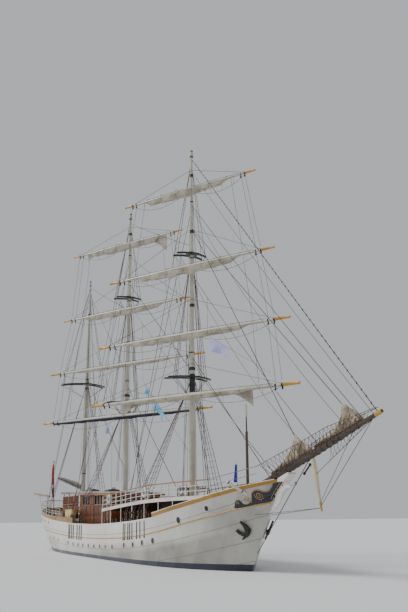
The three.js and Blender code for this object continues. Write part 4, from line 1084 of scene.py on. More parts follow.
# %% Shrouds
RAIL_TOP = [(-24.4, 4.31), (-18, 3.74), (-12.8, 3.38), (-5, 2.76), (3, 2.72), (9.8, 2.97),
            (13.7, 3.22)]
WIRE = 0.021                       # radius of a lower shroud
SEIZING = 0.62                     # height above the rail at which a shroud ends
FEET = {
    # lower shrouds' feet at the ship's side, then the backstays' feet with their heights on the mast
    "fore": ([12.5, 11.75, 11.15, 10.3, 9.85], [(9.5, 22.4), (8.9, 30.8), (8.55, 26.6)]),
    "main": ([-1.9, -2.5, -3.15, -4.3], [(-4.85, 22.6), (-5.45, 30.6), (-5.8, 26.8)]),
    "mizzen": ([-14.1, -14.8, -15.5], [(-16.2, 26.9), (-16.7, 27.7)]),
}
HOUNDS = {"fore": 12.95, "main": 12.95, "mizzen": 16.6}


def rail_at(x, side, inset=0.12):
    """The top of the ship's side, where a deadeye stands."""
    z = rows(RAIL_TOP, x)
    skin = on_hull(x, min(z, 2.6), side)
    return Vector((skin.x, skin.y - side * inset * HALF, z * HALF))


ladders, wires = [], []            # ladders: shrouds that carry ratlines
for mast, (shrouds, backstays) in FEET.items():
    x, hounds = MASTS[mast][0], HOUNDS[mast]
    for side in (-1, 1):
        group = [(rail_at(foot_x, side) + UP * SEIZING,
                  at(x - 0.08 * (i - 1), side * (mast_radius(mast, hounds) + 0.01), hounds - 0.1 * i))
                 for i, foot_x in enumerate(shrouds)]
        ladders.append(group)
        wires += [(pair, WIRE) for pair in group]
        for foot_x, high in backstays:
            head = at(x - mast_radius(mast, high), side * 0.04, high)
            wires.append(([rail_at(foot_x, side) + UP * SEIZING, head], WIRE * 0.85))
ropes("shrouds_and_backstays", wires, SHROUD_WIRE)

# %% Upper shrouds
UPPER = [
    # mast, crosstree height, y on the arm, fore and aft places, height on the topmast
    ("fore", 13.37, 1.22, (-0.74, -0.38, -0.02), 22.3), ("fore", 23.17, 1.2, (-0.72, 0.0), 30.4),
    ("main", 13.37, 1.22, (-0.74, -0.38, -0.02), 22.5), ("main", 23.37, 1.2, (-0.72, 0.0), 30.2),
    ("mizzen", 17.07, 2.26, (-1.64, -0.92), 27.4),
]
wires = []
for mast, z, y, places, high in UPPER:
    x = MASTS[mast][0]
    for side in (-1, 1):
        group = []
        for dx in places:
            foot = at(x + dx, side * y, z)
            head = at(x - 0.04, side * (mast_radius(mast, high) + 0.01), high)
            group.append((foot, head))
            wires.append(([foot, head], WIRE * 0.85))
            wires.append(([at(x + dx, side * y, z - 0.14),
                           at(x - 0.02, side * mast_radius(mast, z - 1.6), z - 1.6)], WIRE * 0.8))
        ladders.append(group)
ropes("upper_and_futtock_shrouds", wires, SHROUD_WIRE)

# %% Ratlines
rungs = []
for group in ladders:
    low = max(foot.z for foot, head in group) + 0.2
    high = min(head.z for foot, head in group) - 0.25
    steps = int((high - low) / (0.42 * HALF))
    for i in range(steps + 1):
        z = low + (high - low) * i / steps
        row = [foot.lerp(head, (z - foot.z) / (head.z - foot.z)) for foot, head in group]
        rungs.append((row, 0.011))
ropes("ratlines", rungs, SHROUD_WIRE, around=0)

# %% [markdown]
# ## Deadeyes and chainplates
# Each shroud ends in a pair of round wooden blocks, the deadeyes, that are laced together to
# tighten it. The lower one is held by an iron bar, the chainplate, which is bolted to the hull. A
# deadeye is a thick disc that is turned to face outwards.

# %% Deadeyes, lanyards and chainplates
SHEER_LINE = [(-23.3, 2.62), (-21, 2.36), (-18, 2.12), (-15.3, 1.95), (-10, 1.73), (-5.5, 1.58),
              (-1.2, 1.54), (3.9, 1.58), (8.2, 1.73), (12.2, 1.99), (15, 2.33), (17, 2.66),
              (19.1, 3.03), (20.7, 3.32), (22, 3.58), (23.2, 3.80), (24.35, 3.98)]
DEADEYES = (0.12, 0.55)            # heights of the two blocks above the rail
discs, bars, lanyards = bmesh.new(), bmesh.new(), []
for mast, (shrouds, backstays) in FEET.items():
    for side in (-1, 1):
        for foot_x in shrouds + [foot for foot, high in backstays]:
            foot = rail_at(foot_x, side) / HALF
            x, y, z = foot
            for height in DEADEYES:
                turned(discs, (x, y - 0.05, z + height), (x, y + 0.05, z + height), 0.09, sides=10)
            lanyards += [([at(x + shift, y, z + height) for height in DEADEYES], 0.012)
                         for shift in (-0.04, 0.04)]
            if mast == "mizzen":
                continue
            low = rows(SHEER_LINE, foot_x) - 0.14
            route = [foot] + [on_hull(foot_x, level, side, 0.03) / HALF for level in (z - 0.2, low)]
            for upper, lower in zip(route, route[1:]):
                turned(bars, upper, lower, 0.027, sides=6)
            turned(bars, *(on_hull(foot_x, low, side, off) / HALF for off in (0.0, 0.06)), 0.06,
                   sides=8)
piece("deadeyes", discs, DARK_SPAR)
piece("chainplates", bars, BLACK_ENAMEL)
ropes("lanyards", lanyards, RUNNING_ROPE, around=0)

# %% [markdown]
# ## Stays between the masts
# Stays hold the masts fore and aft. The main ones are in the solid model. These are the lighter
# ones above and between them, with the halyards and downhauls of the staysails beside them. The
# royal stay has small toggles all along.

# %% Lighter stays
LINES = [
    # from a mast at a height, to a mast at a height, sag, radius
    ("main", 30.9, "fore", 23.9, 0.1, 0.018), ("main", 27.4, "fore", 19.2, 0.1, 0.016),
    ("main", 22.6, "fore", 12.5, 0.15, 0.014), ("mizzen", 27.9, "main", 22.2, 0.1, 0.018),
    ("mizzen", 27.0, "main", 16.0, 0.1, 0.018), ("mizzen", 22.6, "main", 11.0, 0.2, 0.014),
]
SPRIT_LINES = [
    # from the foremast at a height, to a place on the bowsprit, sag, radius
    (30.2, 34.0, 0.3, 0.014), (27.2, 33.2, 0.2, 0.020), (26.9, 31.9, 0.9, 0.014),
    (21.3, 29.3, 0.3, 0.018), (14.4, 24.6, 0.25, 0.018), (21.0, 28.4, 0.9, 0.013),
]
wires = []
for upper, high, forward, low, drop, radius in LINES:
    a = at(MAST_X[upper] + mast_radius(upper, high), 0, high)
    b = at(MAST_X[forward] - mast_radius(forward, low), 0, low)
    wires.append((sagging(a, b, drop), radius))
for high, x, drop, radius in SPRIT_LINES:
    a = at(MAST_X["fore"] + mast_radius("fore", high), 0, high)
    wires.append((sagging(a, at(x, 0, sprit_top(x)), drop), radius))
ropes("light_stays", wires, TARRED_WIRE)

# %% Toggles on the royal stay
low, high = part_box("fore_royal_stay")
top, bottom = Vector((low.x, 0, high.z)), Vector((high.x, 0, low.z))
knots = bmesh.new()
for i in range(58):
    share = 0.03 + 0.95 * i / 57
    spot = top.lerp(bottom, share) / HALF
    ball(knots, spot, 0.05, (1.0, 0.8, 1.3), 6)
piece("royal_stay_toggles", knots, TARRED_WIRE)

# %% [markdown]
# ## Ropes on the yards
# A yard hangs by lifts from the mast above it. Footropes hang behind it, for standing on, and
# stirrups hold them up. These ropes turn with their yard, so they ride on its body. Sheets and
# clewlines run down from each yardarm towards the yard below. They ride on the upper yard and stop
# just short of the lower one, so each yard can be braced alone.

# %% Lifts, footropes and sheets
LIFT_RISE = {"course": 2.5, "topsail": 2.9, "topgallant": 3.3, "royal": 2.0}
BELOW = {"topsail": "course", "topgallant": "topsail", "royal": "topgallant"}
ARM, INNER_ARM = 0.86, 0.803       # shares of the yard at which its irons sit
for mast, level, z, half, radius, *_ in YARDS:
    lines, fittings = [], bmesh.new()
    high, spar = z + LIFT_RISE[level], rows(YARD_TAPER, 0.95) * radius
    for side in (-1, 1):
        lines.append(([on_yard(mast, TRUSS, side * ARM * half, z + spar),
                       on_yard(mast, mast_radius(mast, high) + 0.02, side * 0.05, high)], 0.014))
        # Footrope behind the yard, from the arm to the middle, with its stirrups
        rope = sagging(on_yard(mast, TRUSS - 0.1, side * ARM * half, z - 0.05),
                       on_yard(mast, TRUSS - 0.25, side * 0.35, z - 0.1), 0.75, 14)
        lines.append((rope, 0.013))
        lines += [([spot, Vector((spot.x, spot.y, (z - 0.02) * HALF))], 0.008)
                  for spot in rope[3:13:3]]
        # Sheet and clewlines down towards the next yard
        if level in BELOW:
            z_below, half_below, radius_below = YARD_ROWS[mast, BELOW[level]]
            for share, ahead in ((ARM, 0.05), (0.80, -0.05), (0.66, 0.0)):
                lines.append(([on_yard(mast, TRUSS + ahead, side * share * half, z - 0.05),
                               on_yard(mast, TRUSS + ahead, side * share * half_below,
                                       z_below + radius_below + 0.12)], 0.012))
        for share in (ARM, INNER_ARM):
            spot = on_yard(mast, TRUSS, side * share * half, z) / HALF
            ball(fittings, (spot.x, spot.y, spot.z - 0.22), 0.09, (1, 0.6, 1.3), 8)
            near, far = (on_yard(mast, TRUSS, side * (share * half + step), z) / HALF
                         for step in (-0.03, 0.03))
            turned(fittings, near, far, taper(share) * radius + 0.03, sides=12)
    ropes(f"{mast}_{level}_lifts_and_footropes", lines, TARRED_WIRE, f"{mast}_{level}")
    piece(f"{mast}_{level}_yardarm_irons", fittings, BLACK_ENAMEL, f"{mast}_{level}")

# %% [markdown]
# ## Falls down the masts
# Halyards, clewlines and buntlines all come down beside the masts to the pin rails on deck, and
# they make the grey haze of lines that stands round each mast. They keep behind the masts that
# carry yards, and ahead of the mizzen, where the boom swings behind.

# %% Falls
DECK_AT = {"fore": 2.4, "main": 5.4, "mizzen": 3.2}
falls = []
for mast, (x, head, truck, foot, cap, top) in MASTS.items():
    away = 1 if mast == "mizzen" else -1
    for i in range(9):
        a = 0.7 + i * 0.75
        high = head - 1.6 + (truck - head) * (0.15 + 0.1 * ((i * 5) % 9))
        reach = 0.55 + 0.35 * ((i * 7) % 4) / 3
        foot_point = at(x + away * (0.35 + reach * abs(math.sin(a))), reach * math.cos(a),
                        DECK_AT[mast] + 0.9)
        head_point = at(x + away * (mast_radius(mast, high) + 0.02), 0.05 * math.cos(a),
                        min(high, truck - 1.5))
        falls.append(([foot_point, head_point], 0.012))
ropes("falls", falls, RUNNING_ROPE)

# %% [markdown]
# ## Gold sheer line
# A thin gilded half-round runs the length of the hull, a little below the deck, and draws the
# sheer. It is a moulding, so it stands proud of the plates: points of the hull's own skin, with a
# round bevel along them.

# %% Gold sheer line
def hull_run(table, x0, x1, side, steps=90):
    """Points of the hull's side along a line of (x, height), between two lengths."""
    lengths = [x0 + (x1 - x0) * i / steps for i in range(steps + 1)]
    return [on_hull(x, rows(table, x), side) for x in lengths]


ropes("gilded_sheer_moulding", [(hull_run(SHEER_LINE, -23.3, 24.3, side), 0.04)
                                for side in (-1, 1)], GOLD_PAINT, around=2)

# %% [markdown]
# ## Scroll at the bow
# Where the sheer line meets the stem it ends in a painted scroll, an old and common ornament:
# a navy field with curls, edged with gilded mouldings. The field is a thin plate that is cut to its
# outline in the chart of length and height, and then pressed onto the hull's skin. The mouldings
# are spirals that are laid on the same skin.

# %% Scroll outline and helpers
FIELD = [(25.65, 5.16), (25.25, 4.88), (25.02, 4.72), (24.8, 4.52), (24.6, 4.3), (24.42, 4.07),
         (24.1, 4.0), (23.84, 3.96), (23.4, 3.88), (23.03, 3.79), (22.7, 3.73), (22.35, 3.68),
         (22.24, 3.74), (22.34, 3.88), (22.42, 4.04), (22.54, 4.15), (22.68, 4.13), (22.77, 4.01),
         (22.82, 3.9), (23.0, 3.89), (23.2, 3.95), (23.34, 4.05), (23.44, 4.24), (23.52, 4.46),
         (23.64, 4.62), (23.82, 4.72), (24.02, 4.72), (24.2, 4.64), (24.4, 4.6), (24.6, 4.68),
         (24.78, 4.86), (25.02, 5.12)]
CHEEK = 0.1                        # half the width between the scroll's two heads, past the stem


def breadth_at(x, z, side):
    """Half the hull's breadth, or 0 where a ray from abeam finds no plating."""
    hit = hull_hit(x, z, side)[0]
    return abs(hit.y) / HALF if hit else 0


def on_bow(x, z, side, off):
    """A place on the bow, bridged over the joint where the deck's edge lies in the plating."""
    breadth = breadth_at(x, z, side)
    if not breadth:
        near = [next((found for found in (breadth_at(x, z + way * 0.05 * i, side)
                                          for i in range(1, 7)) if found), CHEEK)
                for way in (-1, 1)]
        breadth = sum(near) / 2
    return at(x, side * (max(breadth, CHEEK) + off), z)


def spiral(centre, first, last, turns, start_angle, clockwise=1, steps=44):
    """A spiral in the chart of length and height."""
    spots = []
    for i in range(steps + 1):
        share = i / steps
        a = start_angle + clockwise * turns * math.tau * share
        radius = first + (last - first) * share ** 0.85
        spots.append((centre[0] + radius * math.cos(a), centre[1] + radius * math.sin(a)))
    return spots


print("scroll outline of", len(FIELD), "corners")

# %% Scroll
MOULDINGS = [
    # points in the chart, radius of the moulding
    (spiral((23.95, 4.38), 0.25, 0.04, 1.9, math.radians(150)), 0.020),
    (spiral((23.12, 4.14), 0.17, 0.05, 1.4, math.radians(-60)), 0.016),
    (spiral((22.58, 3.99), 0.09, 0.03, 1.1, math.radians(200), -1), 0.014),
    ([(23.36, 3.98), (23.46, 4.2), (23.54, 4.44), (23.66, 4.6), (23.84, 4.7), (24.04, 4.7),
      (24.22, 4.62), (24.42, 4.58), (24.62, 4.66), (24.8, 4.85), (25.05, 5.13)], 0.016),
    ([(25.6, 5.16), (25.24, 4.9), (25.0, 4.73), (24.78, 4.54), (24.58, 4.32), (24.4, 4.1)], 0.014),
    ([(24.42, 4.02), (24.1, 3.95), (23.84, 3.91), (23.4, 3.83), (23.03, 3.74), (22.6, 3.68),
      (22.25, 3.62), (21.9, 3.56)], 0.024),
]
for side, name in ((-1, "starboard"), (1, "port")):
    bm = bmesh.new()
    bm.faces.new([bm.verts.new((x, z, 0)) for x, z in FIELD])
    bmesh.ops.triangulate(bm, faces=bm.faces)
    bmesh.ops.subdivide_edges(bm, edges=bm.edges, cuts=12, use_grid_fill=True)
    outer = list(bm.verts)
    bmesh.ops.extrude_face_region(bm, geom=bm.faces, use_keep_orig=True)
    known = set(outer)
    for vert in bm.verts:
        vert.co = on_bow(vert.co.x, vert.co.y, side, 0.055 if vert in known else -0.02)
    piece(f"scroll_field_{name}", bm, NAVY_ENAMEL)
    ropes(f"scroll_mouldings_{name}",
          [([on_bow(x, z, side, 0.068) for x, z in spots], radius) for spots, radius in MOULDINGS],
          GOLD_PAINT, around=2)

# %% [markdown]
# ## Stem and catheads
# A white knee fills the corner between the stem and the bowsprit, and a broader white bed carries
# the bowsprit on the bow. Each is one board: an outline that is extruded and bevelled. On each bow
# a cathead, a short square beam, stands out from the plating, to which the anchor was once hoisted.

# %% Stem knee
KNEE = [(24.0, 3.3), (24.5, 3.55), (25.06, 3.92), (25.58, 4.5), (25.87, 4.74), (26.5, 4.78),
        (26.1, 4.98), (25.95, 5.25), (25.3, 5.1), (24.9, 4.6), (24.44, 4.0), (24.0, 3.45)]
BED = [(25.3, 5.12), (25.36, 5.34), (26.46, 5.62), (26.55, 5.5), (25.97, 5.14)]
bm, rosettes = bmesh.new(), bmesh.new()
for outline, half_width in ((KNEE, 0.07), (BED, 0.27)):
    face = bm.faces.new([bm.verts.new(at(x, -half_width, z)) for x, z in outline])
    grown = bmesh.ops.extrude_face_region(bm, geom=[face])["geom"]
    bmesh.ops.translate(bm, verts=[v for v in grown if isinstance(v, bmesh.types.BMVert)],
                        vec=(0, 2 * half_width * HALF, 0))
eased(bm, bm.verts, 0.015)
for side in (-1, 1):
    ball(rosettes, (25.57, side * 0.1, 4.93), 0.05)
piece("stem_knee_and_bed", bm, WHITE_ENAMEL)
piece("knee_rosettes", rosettes, GOLD_PAINT)

# %% Catheads
CATHEAD_ROOT, CATHEAD_TIP = (23.19, 1.1, 4.47), (23.2, 2.45, 5.21)
beams, straps = bmesh.new(), bmesh.new()
for side in (-1, 1):
    root, tip = (at(x, side * y, z) for x, y, z in (CATHEAD_ROOT, CATHEAD_TIP))
    lean = facing(tip - root)
    eased(beams, block(beams, (root + tip) / 2, (0.07, 0.07, (tip - root).length), lean), 0.02)
    for share in (0.25, 0.93):
        block(straps, root.lerp(tip, share), (0.08, 0.08, 0.03), lean)
piece("catheads", beams, WHITE_ENAMEL)
piece("cathead_straps", straps, BLACK_ENAMEL)

# %% [markdown]
# ## Portholes and fairleads
# A porthole is a cast bronze ring, painted over, round a thick glass. The ring is a small circle
# that is spun about the hull's own normal, so it sits flat on the curved plates. A fairlead is the
# same ring round a black disc, which is painted shade for the dark opening behind it.

# %% Portholes
PORTHOLES = [(-5.95, 1.04, 0.12), (-4.25, 0.97, 0.12), (-2.72, 0.94, 0.12), (-1.28, 0.93, 0.12),
             (0.2, 0.94, 0.12), (1.72, 0.95, 0.12), (3.18, 0.98, 0.12), (4.6, 1.0, 0.12),
             (6.2, 1.04, 0.13), (8.75, 1.22, 0.15), (10.47, 1.31, 0.15), (12.12, 1.48, 0.16),
             (13.8, 1.66, 0.17), (-13.5, 1.4, 0.11), (-11.6, 1.3, 0.11), (-9.7, 1.2, 0.11)]
FAIRLEADS = [(17.3, 3.02, 0.17), (20.2, 3.72, 0.14), (-21.0, 3.4, 0.12), (-18.6, 3.12, 0.12),
             (-16.4, 2.92, 0.12), (-14.2, 2.78, 0.12)]
rims, glass, shade_discs = bmesh.new(), bmesh.new(), bmesh.new()
for side in (-1, 1):
    for table, inner in ((PORTHOLES, glass), (FAIRLEADS, shade_discs)):
        for x, z, radius in table:
            spot, normal = hull_hit(x, z, side)
            ring(rims, spot + normal * 0.012 * HALF, normal, radius * 1.3, 0.03, 16, 6)
            turned(inner, (spot - normal * 0.03) / HALF, (spot + normal * 0.02) / HALF, radius * 1.25,
                   sides=16)
piece("porthole_rims", rims, WHITE_ENAMEL)
piece("porthole_glass", glass, WINDOW_GLASS)
# The fairleads' black discs are painted shade, where the opening shows dark
piece("fairlead_shade_discs", shade_discs, BLACK_ENAMEL)

# %% [markdown]
# ## Rail caps
# A timber or steel cap closes the top of the bulwark. On the ochre band forward it is a thin white
# edge, and round the stern it is varnished wood, with white stanchions and two bars above it.

# %% Rail caps
def top_of(tree, x, side):
    """The top edge of a bulwark at a length."""
    skin = on_hull(x, min(rows(RAIL_TOP, x) - 0.5, 3.3) if x < 13.6 else 3.1, side)
    for inset in (0.02, 0.06, -0.03, -0.1, -0.2, -0.3, -0.4, -0.5):
        hit = tree.ray_cast(Vector((x * HALF, skin.y - side * inset * HALF, 5)), Vector((0, 0, -1)))[0]
        if hit:
            return hit
    return None


AFT_BAND, FORE_BAND = skin_of("bulwark_aft"), {-1: skin_of("bulwark_fore_starboard"),
                                              1: skin_of("bulwark_fore_port")}
lines = []
for side in (-1, 1):
    run = [top_of(FORE_BAND[side], 13.7 + (24.9 - 13.7) * i / 40, side) for i in range(41)]
    lines.append(([spot for spot in run if spot], 0.045))
ropes("fore_rail_cap", lines, WHITE_ENAMEL, around=2)

STERN_XS = [-5.0 + (-24.1 + 5.0) * i / 60 for i in range(61)]
runs = {side: [spot for spot in (top_of(AFT_BAND, x, side) for x in STERN_XS) if spot]
        for side in (-1, 1)}
stern_run = runs[-1] + list(reversed(runs[1]))
ropes("aft_rail_cap", [(stern_run, 0.055)], MAHOGANY_LONG, around=2)

# %% Quarterdeck rail
STANCHION_STEP = 0.65              # in the model's metres
first = next(i for i, spot in enumerate(stern_run) if spot.x < -9.4 * HALF)
rail_run = stern_run[first:len(stern_run) - first]
lines = [([spot + UP * height for spot in rail_run], 0.014) for height in (0.28, 0.52)]
walked = STANCHION_STEP + 0.05
for before, spot in zip(rail_run[:1] + rail_run, rail_run):
    walked += (spot - before).length
    if walked > STANCHION_STEP:
        lines.append(([spot, spot + UP * 0.78], 0.024))
        walked = 0.0
ropes("quarterdeck_stanchions", lines, WHITE_ENAMEL)
ropes("quarterdeck_handrail", [([spot + UP * 0.79 for spot in rail_run], 0.04)],
      MAHOGANY_LONG, around=2)

# %% [markdown]
# ## Rail round the raised walk
# The walk has a light steel rail: round stanchions about a metre apart, two thin bars and a
# varnished cap. The solid model has a plain version, which this one replaces in the same place. A
# white board edges the walk below it.

# %% Walk rail
WALK_AFT, WALK_FORE = 3.17, 20.2
WALK_TREE = skin_of("promenade_deck")
RAIL_BARS = (0.36, 0.68)           # heights of the thin bars above the walk


def walk_edge(x, side, inset=0.07):
    """The walk's upper edge at a length."""
    for y in [3.6 - 0.01 * i for i in range(160)]:
        hit = WALK_TREE.ray_cast(at(x, side * (y - 0.02), 6), Vector((0, 0, -1)))[0]
        if hit and hit.z > 3.7 * HALF:
            return Vector((hit.x, side * (y - inset) * HALF, hit.z))


stations = [WALK_AFT + (WALK_FORE - WALK_AFT) * i / 30 for i in range(31)]
edges = {side: [walk_edge(x, side) for x in stations] for side in (-1, 1)}
bars, feet = [], []
for side in (-1, 1):
    for height in RAIL_BARS:
        bars.append(([spot + UP * height for spot in edges[side]], 0.024))
    feet += [walk_edge(min(WALK_AFT + 1.06 * i, WALK_FORE), side) for i in range(17)]
for height in RAIL_BARS:
    bars.append(([edges[-1][0] + UP * height, edges[1][0] + UP * height], 0.024))
feet += [edges[-1][0].lerp(edges[1][0], share) for share in (0.25, 0.5, 0.75)]
posts = [([spot, spot + UP * 0.98], 0.042) for spot in feet]
walk_rail = ropes("walk_rail", bars + posts, WHITE_ENAMEL, around=2)
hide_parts("promenade_rail")
cap = list(reversed(edges[-1])) + edges[1]
ropes("walk_handrail", [([spot + UP * 1.0 for spot in cap], 0.04)], PINE_LONG,
      around=2)

bm = bmesh.new()
for side in (-1, 1):
    strip = [[bm.verts.new(walk_edge(x, side, -0.012) + UP * height) for height in (0.05, -0.19)]
             for x in stations]
    for (a, b), (c, d) in zip(strip, strip[1:]):
        bm.faces.new((a, b, d, c))
bmesh.ops.recalc_face_normals(bm, faces=bm.faces)
bmesh.ops.solidify(bm, geom=bm.faces, thickness=0.03 * HALF)
piece("walk_edge_boards", bm, WHITE_ENAMEL)

# %% Walk paint
def walk_paint():
    """White edges, scrubbed planks on top and a varnished ceiling below, by the face's normal."""
    material, tree, shader, place = start("planked_walk_with_varnished_ceiling", 0.5)
    planks, ceiling = (put(tree, "TexBrick", {
        "Vector": place, "Scale": 1.0, "Mortar Size": gap * MM, "Mortar Smooth": smooth,
        "Brick Width": PLANK_LENGTH * MM, "Row Height": width * MM, "Color1": light,
        "Color2": dark, "Mortar": joint}, offset=offset)
        for gap, smooth, width, light, dark, joint, offset in (
            (4, 0.2, 60, "#A8967C", "#8B7A61", "#2A2520", 0.37),
            (3, 0.3, 75, "#4A1712", "#36110D", "#1E0D08", 0.41)))
    normal = put(tree, "NewGeometry", {}).outputs["Normal"]
    height = put(tree, "SeparateXYZ", {"Vector": normal}).outputs["Z"]
    below = put(tree, "Math", {0: height, 1: -0.5}, operation="LESS_THAN")
    above = put(tree, "Math", {0: height, 1: 0.5}, operation="GREATER_THAN")
    whole = layered(tree, "#E6E4DC", (below, ceiling.outputs["Color"]),
                    (above, planks.outputs["Color"]))
    surface(tree, shader, whole, planks.outputs["Fac"], -0.3, 2)
    return material


coat(["promenade_deck"], walk_paint())
print("walk painted")

# %% [markdown]
# ## Lifelines and nets forward
# From the end of the walk a lifeline runs past the cathead and out along each side of the bowsprit,
# and a net of thin line fills the space between it and the spar. Below, martingale ropes run from
# the spar's end to the dolphin striker, and a rigging screw tightens the bobstay.

# %% Lifelines, nets and martingales
STRIKER_HEAD, MARTINGALE_TIP = (28.95, 5.42), (33.94, 7.78)


def lattice(places, high_at, low_at):
    """Crossed lines between two edges, over neighbouring places along the spar."""
    return [([high_at(high), low_at(low)], 0.012) for a, b in zip(places, places[1:])
            for high, low in ((a, b), (b, a))]


def martingale_at(x):
    """A place on the upper martingale."""
    share = (x - STRIKER_HEAD[0]) / (MARTINGALE_TIP[0] - STRIKER_HEAD[0])
    return at(x, 0, STRIKER_HEAD[1] + (MARTINGALE_TIP[1] - STRIKER_HEAD[1]) * share)


lifelines, net = [], []
for side in (-1, 1):
    route = [edges[side][-1] + UP * 1.0, at(24.4, side * 1.1, 6.05),
             at(27.3, side * 0.5, 6.95), at(30.5, side * 0.3, 7.75), at(34.3, side * 0.06, 8.3)]
    lifelines.append((route, 0.02))
    lifelines.append(([route[0] - UP * 0.42, route[1] - UP * 0.42], 0.015))
    heights = [(spot.x / HALF, spot.z / HALF) for spot in route]
    widths = [(spot.x / HALF, spot.y / HALF) for spot in route]
    net += lattice([24.6 + 0.33 * i for i in range(28)],
                   lambda x: at(x, rows(widths, x), rows(heights, x)),
                   lambda x: at(x, side * sprit_radius(x), sprit_axis(x)))
net += lattice([30.2 + 0.3 * i for i in range(13)], lambda x: at(x, 0, sprit_axis(x)),
               martingale_at)
martingales = [([at(x0, 0, z0), at(x1, 0, z1)], radius) for (x0, z0), (x1, z1), radius in (
    (MARTINGALE_TIP, STRIKER_HEAD, 0.016), ((33.9, 7.76), (29.22, 3.75), 0.016),
    ((32.4, 7.38), (29.2, 3.95), 0.014))]
martingales += [([at(29.18, side * 0.04, 3.62), on_hull(23.2, 3.3, side, 0.02)], 0.014)
                for side in (-1, 1)]
ropes("lifelines", lifelines, RUNNING_ROPE)
ropes("martingales", martingales, TARRED_WIRE)
ropes("bowsprit_net", net, SHROUD_WIRE, around=0)

# %% Post head, gilded tips and bobstay screw
POST_HEAD_LOW = 9.27
low, high = (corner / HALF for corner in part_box("foredeck_post"))
x, y = (low.x + high.x) / 2, (low.y + high.y) / 2
bm, tips, screws = bmesh.new(), bmesh.new(), bmesh.new()
turned(bm, (x, y, POST_HEAD_LOW), (x, y, high.z), 0.085, 0.05, 14)
tip_radius = sprit_radius(34.4) + 0.02
turned(tips, (34.2, 0, sprit_axis(34.2)), (SPRIT_TIP[0], 0, sprit_axis(SPRIT_TIP[0])),
       tip_radius, tip_radius * 0.8, 16)
turned(tips, (29.15, 0, 3.92), (29.245, 0, 3.45), 0.075, 0.05, 14)
turned(screws, (27.78, 0, 5.5), (28.33, 0, 5.9), 0.05, sides=10)
for low, high in (((27.72, 0, 5.45), (27.8, 0, 5.51)), ((28.31, 0, 5.89), (28.39, 0, 5.95))):
    turned(screws, low, high, 0.08, sides=10)
piece("post_head", bm, CREAM_ENAMEL)
piece("gilded_spar_tips", tips, GOLD_PAINT)
piece("bobstay_screw", screws, BLACK_ENAMEL)

# %% [markdown]
# ## Coils on the pin rails
# Ropes that come down from aloft end on pins along the ship's side, and the slack hangs there in
# coils, under the raised walk. A coil is a few rings of different sizes, drawn out downwards.

# %% Coils
bm = bmesh.new()
for side in (-1, 1):
    for i, x in enumerate((3.5, 4.2, 5.5, 6.2, 7.6, 8.4, 9.9, 10.6, 11.9, 12.6, 14.4, 15.6)):
        z = rows(RAIL_TOP, x) + 0.1
        y = on_hull(x, 2.5, side).y / HALF - side * 0.3
        for step in range(3):
            first = len(bm.verts)
            spot = at(x + 0.05 * step, y + side * 0.04 * step, z)
            ring(bm, spot, Vector((0.25, 1, 0)).normalized(), 0.13 + 0.02 * step, 0.03, 14, 5)
            bm.verts.ensure_lookup_table()
            for vert in bm.verts[first:]:
                if vert.co.z < spot.z:
                    vert.co.z = spot.z + (vert.co.z - spot.z) * (1.7 + 0.3 * (i % 3))
piece("rope_coils", bm, OLIVE_ROPE)

# %% [markdown]
# ## Deckhouse joinery
# The long deckhouse is varnished panelling between posts, with wide windows. Each window has a
# frame, one or two mullions and dark glass, set back a little. Below the windows are raised panels, and a
# fascia board hangs from the roof's edge. All of it is sawn board with eased edges.

# %% House places
HOUSE_AFT, HOUSE_FORE, HOUSE_SIDE = -6.8, 2.2, 2.25
FLOOR_Z = 2.597
SILL, HEAD = FLOOR_Z + 1.72, FLOOR_Z + 2.48
SIDE_OPENINGS = [(-5.72, -3.5), (-2.25, 0.15)]
END_OPENINGS = [(-1.7, -0.5), (0.5, 1.7)]
ROOF_Z = [(-13.4, 5.72), (2.6, 5.20)]


def wall_board(bm, wall, a, b, z0, z1, proud, deep=0.001, ease=0.008):
    """A board from a to b along a wall, between two distances out from the wall's face."""
    along, face, out = wall
    near, far = face + out * deep, face + out * proud
    corners = ((a, near, z0), (b, far, z1)) if along == "x" else ((near, a, z0), (far, b, z1))
    board(bm, *corners, ease)


print("house", HOUSE_FORE - HOUSE_AFT, "m long")

# %% Windows and panels
frames, panels, panes = bmesh.new(), bmesh.new(), bmesh.new()


def window(wall, a, b, mullions):
    """A frame, its mullions and a pane that is set back, from a to b along a wall."""
    wall_board(frames, wall, a - 0.1, b + 0.1, HEAD, HEAD + 0.1, 0.035)
    wall_board(frames, wall, a - 0.13, b + 0.13, SILL - 0.09, SILL, 0.06)
    for jamb in (a - 0.1, b):
        wall_board(frames, wall, jamb, jamb + 0.1, SILL, HEAD, 0.035)
    for i in range(mullions):
        middle = a + (b - a) * (i + 1) / (mullions + 1)
        wall_board(frames, wall, middle - 0.035, middle + 0.035, SILL + 0.002, HEAD - 0.002, 0.02,
                   -0.06)
    wall_board(panes, wall, a + 0.002, b - 0.002, SILL + 0.002, HEAD - 0.002, -0.045, -0.055, 0)


def panelling(wall, a, b):
    """Two raised panels, one above the other, below the windows' sills."""
    for z0, z1 in ((FLOOR_Z + 0.75, SILL - 0.16), (FLOOR_Z + 0.15, FLOOR_Z + 0.66)):
        wall_board(panels, wall, a, b, z0, z1, 0.02, ease=0.015)


